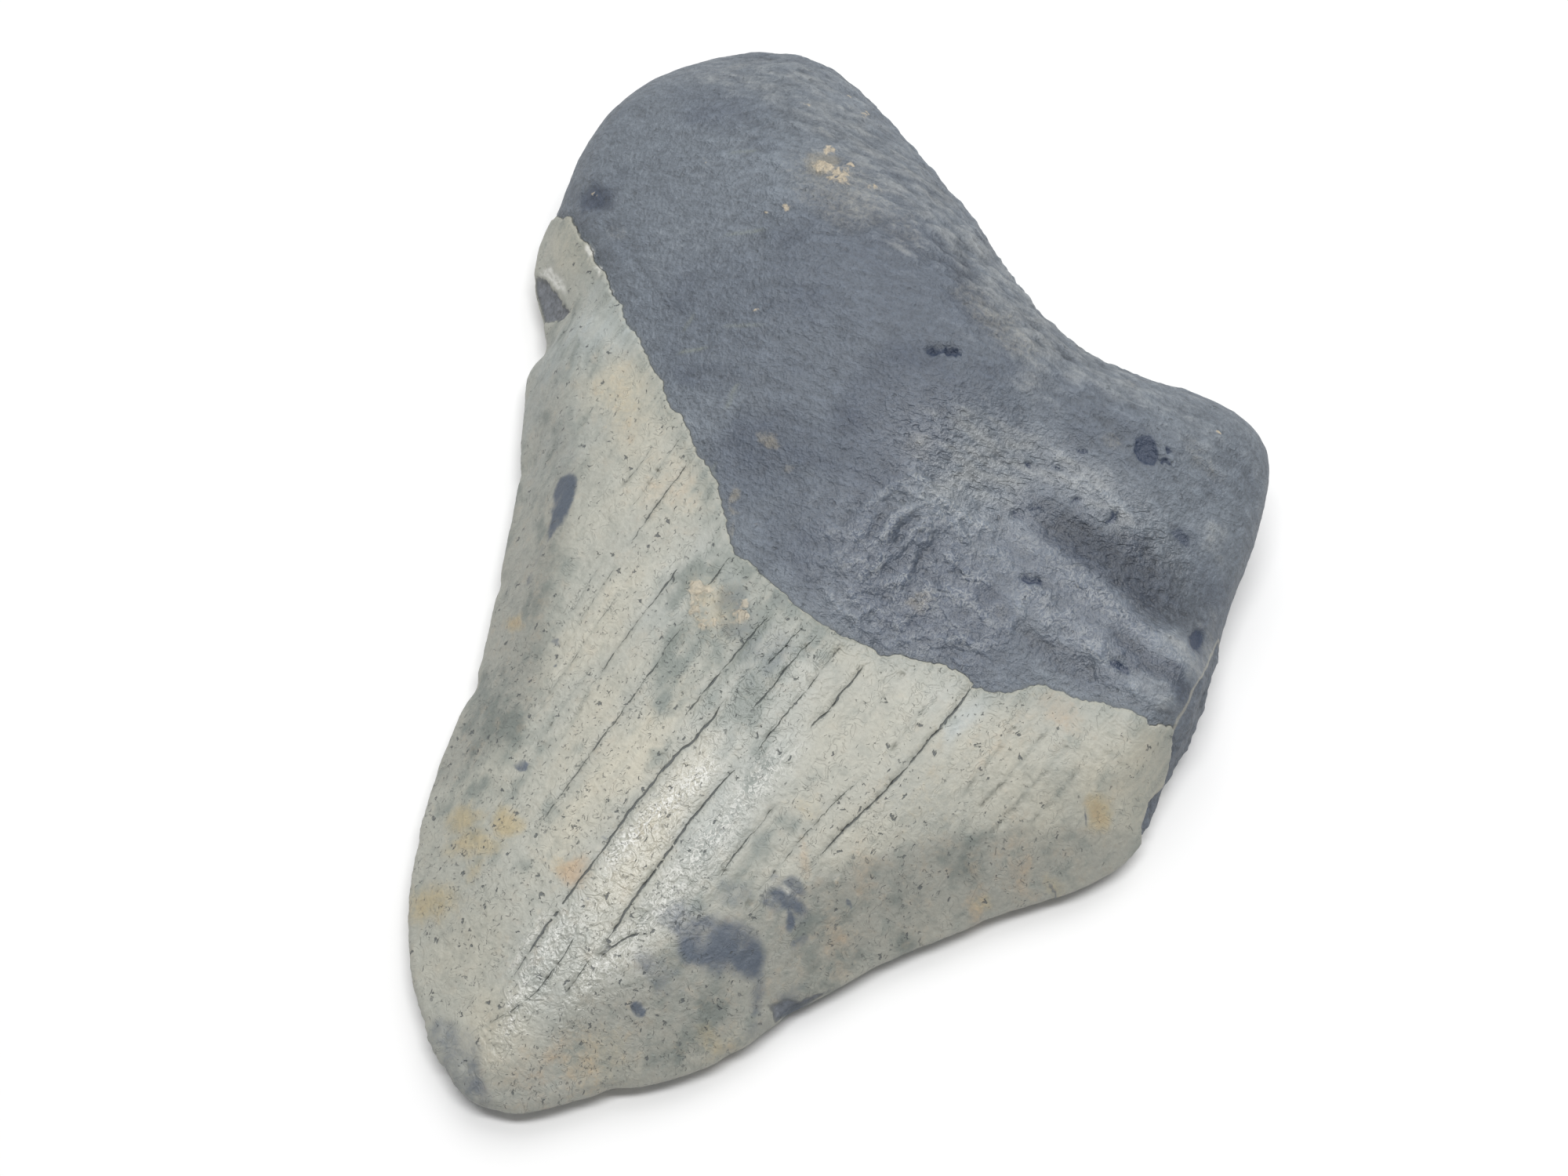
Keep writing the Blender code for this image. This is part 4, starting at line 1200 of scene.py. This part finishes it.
def enamel_wear(wire, given, colours, streak, colour, dirt):
    """Light and dark grain with painted light and shade on the relief, painted highlights in the glint
    bands, smears by the root and the cracks, the pale rim, and the dirt.
    """
    fine = given["Fine"]
    # The grain is also lighter on the crests of the fine relief and darker in its hollows: painted light and
    # shade.
    grain = wire.sum(wire.swing(fine, 0.44), wire.swing(streak, 0.22), wire.times(given["Cavity"], 0.10))
    halo = wire.times(wire.band(given["Crack"], 0.15, 0.85), 0.22)
    patches = wire.band(wire.math("ADD", fine, streak), 0.65, 1.25)
    smear = wire.times(wire.band(given["Crown"], 2.4, 0.1), patches, 0.7)
    rim = wire.times(wire.band(given["Crown"], 0.34, 0.10), wire.band(fine, 0.45, 0.62), 0.35)
    # Painted highlights: bright squiggles in the fresh-edge colour along the glint bands.
    return wire.paint(
        wire.brighten(colour, wire.math("ADD", 1.0, grain)),
        (wire.times(given["Glint"], given["Crests"], 0.85), colours.fresh),
        (wire.most(halo, smear), colours.enamel_green),
        (rim, colours.enamel_cream),
        (dirt, colours.crack))


def enamel_group(colours, squiggles):
    """Colour, roughness and fine relief of the enamel."""
    group, wire, given, result = new_group(
        "Enamel", TEXTURES + mask_sockets("Dust", *ENAMEL_MARKS), FINISH)
    streak = wire.cloud(wire.stretch(given["Vector"], (1.0, 0.07, 0.3)), scale=1.6, roughness=0.6)
    mottle = wire.cloud(given["Vector"], scale=0.8, detail=3.0, roughness=0.65)
    specks = wire.most(wire.times(given["Specks"], 0.85), wire.times(given["Dust"], 0.55))
    crack = wire.band(wire.math("ADD", given["Crack"], wire.swing(given["Fine"], 0.34)), 0.78, 0.97)
    lines = wire.group(squiggles, {"Curl": given["Curl"], "Patches": streak, "Width": 0.020})["Mask"]
    dirt = wire.most(specks, wire.times(crack, 0.9), wire.times(lines, 0.24))
    colour = enamel_ground(wire, given, colours, streak, mottle)
    colour = enamel_stains(wire, given, colours, mottle, colour)
    wire.feed(result["Color"], enamel_wear(wire, given, colours, streak, colour, dirt))
    clean = wire.lerp(given["Gloss"], *ENAMEL_ROUGHNESS)
    wire.feed(result["Roughness"], wire.lerp(wire.most(crack, specks), clean, DIRT_ROUGHNESS))
    raised = wire.sum(
        wire.times(given["Curl"], wire.lerp(given["Gloss"], *ENAMEL_CURL)),
        wire.times(given["Crests"], given["Glint"], GLINT_HEIGHT),
        wire.times(given["Fine"], wire.lerp(given["Gloss"], *ENAMEL_FINE)))
    sunk = wire.most(
        wire.times(specks, SPECK_DEPTH), wire.times(crack, HAIRLINE_DEPTH),
        wire.times(lines, SQUIGGLE_DEPTH))
    wire.feed(result["Height"], wire.math("SUBTRACT", raised, sunk))
    return group


def root_colour(wire, given, colours, grain):
    """The root's slate ground, partly with painted shade and light, painted highlights on its glossy crests,
    rust, dark joint with the enamel, pits and scratches.
    """
    fine = given["Fine"]
    pale = wire.sum(
        given["Pale"], wire.swing(grain, 1.2), wire.swing(fine, 0.5), wire.times(given["Shade"], -0.6))
    ground = wire.paint(
        rgba(colours.root),
        (given["Shade"], colours.root_dark),
        (wire.times(wire.band(pale, 0.05, 1.0), 0.75), colours.root_light))
    # Lighter on the crests of the fine relief and darker in its hollows: painted light and shade.
    light = wire.sum(1.0, wire.swing(fine, 1.0), wire.swing(grain, 0.9), wire.times(given["Cavity"], 0.35))
    # Painted highlights: pale squiggles on the crests where the root is glossy.
    crests = wire.times(given["Crests"], given["Gloss"], wire.band(given["Cavity"], -0.1, 0.6), 0.85)
    painted_highlight_colour = wire.brighten(rgba(colours.root_light), 1.50)
    rust = wire.band(wire.math("ADD", given["Rust"], wire.swing(fine, 1.0)), 0.25, 1.0)
    joint = wire.band(given["Crown"], -0.40, -0.04)
    return wire.paint(
        wire.blend(crests, wire.brighten(ground, light), painted_highlight_colour),
        (wire.times(rust, 0.30), colours.warm),
        (wire.most(wire.times(given["Specks"], 0.35), wire.times(joint, 0.5)), colours.crack),
        (wire.band(given["Pit"], 0.15, 0.75), colours.pit),
        (given["Scratched"], colours.enamel_green))


def root_group(colours):
    """Colour, roughness and fine relief of the root."""
    group, wire, given, result = new_group("Root", TEXTURES + mask_sockets(*ROOT_MARKS), FINISH)
    along = wire.stretch(wire.turned(given["Vector"], -12.0), (0.40, 1.0, 0.8))
    grain = wire.cloud(along, scale=1.5, detail=3.0, roughness=0.6, distortion=0.5)
    wire.feed(result["Color"], root_colour(wire, given, colours, grain))
    polished = wire.lerp(given["Gloss"], *ROOT_ROUGHNESS)
    wire.feed(result["Roughness"], wire.math("ADD", polished, wire.swing(given["Fine"], 0.12)))
    folds = wire.cloud(given["Vector"], scale=0.70, detail=1.0, distortion=0.9)
    flattened = wire.stretch(wire.turned(given["Vector"], -30.0), (1.0, 2.2, 1.0))
    dents = wire.band(wire.cloud(flattened, scale=1.25, detail=1.5), 0.56, 0.70)
    raised = wire.sum(
        wire.times(given["Curl"], wire.lerp(given["Gloss"], *ROOT_CURL)),
        wire.times(given["Fine"], wire.lerp(given["Gloss"], *ROOT_FINE)),
        wire.times(grain, wire.lerp(given["Grained"], *ROOT_GRAIN)),
        wire.times(folds, given["Wrinkled"], ROOT_FOLD_HEIGHT))
    sunk = wire.sum(
        wire.times(dents, given["Pitted"], ROOT_DENT_DEPTH), wire.times(given["Specks"], ROOT_SPECK_DEPTH))
    wire.feed(result["Height"], wire.math("SUBTRACT", raised, sunk))
    return group


def speck_masks(wire, place, fine, curl):
    """Dark specks, and finer dust, thickest where the mesh is marked as speckled."""
    pepper = pepper_group()
    shift = wire.node("ShaderNodeCombineXYZ", {"X": wire.swing(curl, 1.1), "Y": wire.swing(fine, 0.9)})
    squeezed = wire.stretch(place, (1.0, 0.8, 1.0))
    bent = wire.node("ShaderNodeVectorMath", {0: squeezed, 1: shift.outputs[0]}, operation="ADD").outputs[0]
    often = wire.math("ADD", 0.06, wire.times(wire.mark("speckled"), 0.38))
    specks = wire.group(pepper, SPECKS | {"Vector": bent, "Share kept": often})["Mask"]
    dust = wire.group(pepper, DUST | {"Vector": bent, "Share kept": wire.times(often, 1.3)})["Mask"]
    return specks, dust


def bare_core(wire, colours, uneven, colour):
    """Show the core at the chips and the broken shoulder. Also says where it is bare."""
    chip, beyond_break = wire.mark("chipped"), wire.mark("broken")
    chipped = wire.band(chip, 0.15, 0.80)
    broken = wire.band(beyond_break, 0.0, 0.12)
    chip_core = wire.blend(wire.times(wire.mark("dark"), 0.8), rgba(colours.core), rgba(colours.stain))
    break_core = wire.blend(0.35, rgba(colours.root), rgba(colours.root_dark))
    rim = wire.times(wire.band(chip, 0.15, 0.40), wire.band(chip, 0.85, 0.50))
    lip = wire.band(wire.math("ABSOLUTE", beyond_break), 0.16, 0.04)
    colour = wire.paint(
        wire.blend(chipped, colour, wire.brighten(chip_core, uneven)),
        (wire.times(rim, 0.55), colours.crack),
        (wire.times(lip, 0.45), colours.enamel_cream))
    return wire.blend(broken, colour, wire.brighten(break_core, uneven)), wire.most(chipped, broken)


def marked(wire, names):
    """The marks painted on the mesh under these names in lower case, for the sockets named after them."""
    return {name: wire.mark(name.lower()) for name in names}


def fossil_material(colours):
    """The whole tooth's material: enamel, root, bare core and crust, told apart by the painted marks."""
    material = bpy.data.materials.new("fossil_tooth")
    material.use_nodes = True
    wire = Wiring(material.node_tree)
    shader = material.node_tree.nodes["Principled BSDF"]
    place = wire.stretch(wire.node("ShaderNodeTexCoord").outputs["Object"], (1.0 / MM,) * 3)
    fine = wire.cloud(place, scale=2.6, detail=3.0, roughness=0.7)
    curl = wire.cloud(place, scale=0.95, detail=1.0, distortion=1.8)
    tight_curl = wire.cloud(wire.stretch(place, (1.0, 0.7, 1.0)), scale=1.7, detail=1.0, distortion=1.6)
    squiggles = squiggle_group()
    crests = wire.group(squiggles, {"Curl": tight_curl, "Patches": 1.0, "Width": 0.09})["Mask"]
    specks, dust = speck_masks(wire, place, fine, curl)
    textures = {"Vector": place, "Fine": fine, "Curl": curl, "Crests": crests, "Specks": specks}
    enamel = wire.group(
        enamel_group(colours, squiggles), textures | {"Dust": dust} | marked(wire, ENAMEL_MARKS))
    root = wire.group(root_group(colours), textures | marked(wire, ROOT_MARKS))
    on_crown = wire.band(wire.mark("crown"), -0.05, 0.05)
    colour = wire.blend(on_crown, root["Color"], enamel["Color"])
    roughness = wire.lerp(on_crown, root["Roughness"], enamel["Roughness"])
    height = wire.lerp(on_crown, root["Height"], enamel["Height"])
    uneven = wire.sum(0.95, wire.swing(fine, 1.3), wire.swing(curl, 0.9))
    colour, bare = bare_core(wire, colours, uneven, colour)
    grains = wire.sum(1.0, wire.swing(curl, 3.0), wire.swing(fine, 1.5))
    crust = wire.band(wire.times(wire.mark("crust"), grains), 0.25, 0.80)
    cover = wire.times(crust, wire.lerp(on_crown, 0.85, 0.62))
    colour = wire.blend(cover, colour, wire.brighten(rgba(colours.crust), uneven))
    wire.feed(shader.inputs["Base Color"], wire.paint(colour, (wire.mark("fresh"), colours.fresh)))
    wire.feed(shader.inputs["Roughness"], wire.lerp(wire.most(crust, bare), roughness, CORE_ROUGHNESS))
    wire.feed(shader.inputs["Normal"], wire.node(
        "ShaderNodeBump", {"Strength": 1.0, "Distance": MM, "Height": height}).outputs["Normal"])
    shader.inputs["IOR"].default_value = FOSSIL_IOR
    return material


# ---------------------------------------------------------------- the stage


def floor_material(colour):
    """Plain matt white."""
    material = bpy.data.materials.new("floor")
    material.use_nodes = True
    shader = material.node_tree.nodes["Principled BSDF"]
    shader.inputs["Base Color"].default_value = rgba(colour)
    shader.inputs["Roughness"].default_value = 0.9
    shader.inputs["Specular IOR Level"].default_value = 0.1
    return material


def add_floor(colour):
    """A wide plane on the ground."""
    mesh = bpy.data.meshes.new("floor")
    corners = [
        (x * FLOOR_HALF_WIDTH, y * FLOOR_HALF_WIDTH, 0.0) for x, y in ((-1, -1), (1, -1), (1, 1), (-1, 1))]
    mesh.from_pydata(corners, [], [(0, 1, 2, 3)])
    mesh.materials.append(floor_material(colour))
    floor = bpy.data.objects.new("floor", mesh)
    bpy.context.scene.collection.objects.link(floor)


def direction(azimuth, elevation):
    """Unit vector towards a viewer at this azimuth and elevation."""
    return Vector((
        math.sin(azimuth) * math.cos(elevation), -math.cos(azimuth) * math.cos(elevation),
        math.sin(elevation)))


def aim(thing, back, distance, sideways=None):
    """Put a camera or light at a distance from the tooth, facing it, with its own X axis sideways."""
    right = Vector(sideways) if sideways else Vector((0.0, 0.0, 1.0)).cross(back)
    right = (right - back * right.dot(back)).normalized()
    turn = Matrix((right, back.cross(right), back)).transposed().to_4x4()
    thing.matrix_world = Matrix.Translation(Vector(LOOK_AT) + back * distance) @ turn


def add_camera(stage):
    """The camera, looking down on the inner face."""
    lens = bpy.data.cameras.new("camera")
    lens.lens = stage.lens
    lens.sensor_width = SENSOR_WIDTH
    lens.clip_start = 0.005
    camera = bpy.data.objects.new("camera", lens)
    bpy.context.scene.collection.objects.link(camera)
    aim(camera, direction(stage.azimuth, stage.elevation), stage.distance)
    bpy.context.scene.camera = camera


def add_soft_light(name, azimuth, elevation, distance, width, height, power, sideways=None):
    """A rectangular soft light facing the tooth."""
    lamp = bpy.data.lights.new(name, "AREA")
    lamp.shape = "RECTANGLE"
    lamp.size = width
    lamp.size_y = height
    lamp.energy = power
    light = bpy.data.objects.new(name, lamp)
    bpy.context.scene.collection.objects.link(light)
    aim(light, direction(math.radians(azimuth), math.radians(elevation)), distance, sideways)


def set_room_light(strength):
    """Even white light from all around."""
    world = bpy.data.worlds.new("room")
    world.use_nodes = True
    background = world.node_tree.nodes["Background"]
    background.inputs["Color"].default_value = (1.0, 1.0, 1.0, 1.0)
    background.inputs["Strength"].default_value = strength
    bpy.context.scene.world = world


# ---------------------------------------------------------------- operators and panel


class TOOTH_OT_build(bpy.types.Operator):
    """Build the tooth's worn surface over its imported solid"""

    bl_idname = "fossil.build_tooth"
    bl_label = "Build Tooth"

    def execute(self, context):
        piece = dense_surface(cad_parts[NODE], context.scene.tooth_sizes.spacing)
        feature_surface(piece, context.scene.tooth_sizes)
        stand_on_floor(piece)
        piece.data.materials.clear()
        piece.data.materials.append(fossil_material(context.scene.tooth_colours))
        piece.data.shade_smooth()
        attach(piece, "root")
        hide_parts(NODE)
        return {"FINISHED"}


class TOOTH_OT_stage(bpy.types.Operator):
    """Lay the floor and set up the camera and lights"""

    bl_idname = "fossil.set_stage"
    bl_label = "Set Stage"

    def execute(self, context):
        stage = context.scene.tooth_stage
        add_floor(stage.floor_colour)
        add_camera(stage)
        add_soft_light(
            "overhead", azimuth=90.0, elevation=87.0, distance=0.60, width=0.46, height=0.10,
            power=stage.overhead_power, sideways=STRIP_SIDEWAYS)
        add_soft_light(
            "window", azimuth=202.0, elevation=54.0, distance=0.80, width=0.80, height=0.60,
            power=stage.window_power)
        set_room_light(stage.room_strength)
        context.scene.view_settings.view_transform = "Standard"
        return {"FINISHED"}


class TOOTH_PT_panel(bpy.types.Panel):
    """Settings and steps of the tooth"""

    bl_label = "Megalodon Tooth"
    bl_idname = "TOOTH_PT_panel"
    bl_space_type = "VIEW_3D"
    bl_region_type = "UI"
    bl_category = "Tooth"

    def draw(self, context):
        for name in SETTINGS:
            settings = getattr(context.scene, name)
            box = self.layout.box()
            for setting in type(settings).__annotations__:
                box.prop(settings, setting)
        self.layout.operator(TOOTH_OT_build.bl_idname)
        self.layout.operator(TOOTH_OT_stage.bl_idname)


SETTINGS = {"tooth_sizes": ToothSizes, "tooth_colours": ToothColours, "tooth_stage": StageSettings}
CLASSES = (*SETTINGS.values(), TOOTH_OT_build, TOOTH_OT_stage, TOOTH_PT_panel)


def register():
    for cls in CLASSES:
        bpy.utils.register_class(cls)
    for name, group in SETTINGS.items():
        setattr(bpy.types.Scene, name, PointerProperty(type=group))


def unregister():
    for name in SETTINGS:
        delattr(bpy.types.Scene, name)
    for cls in reversed(CLASSES):
        bpy.utils.unregister_class(cls)


def main():
    register()
    bpy.ops.fossil.build_tooth()
    bpy.ops.fossil.set_stage()


if __name__ == "__main__":
    main()
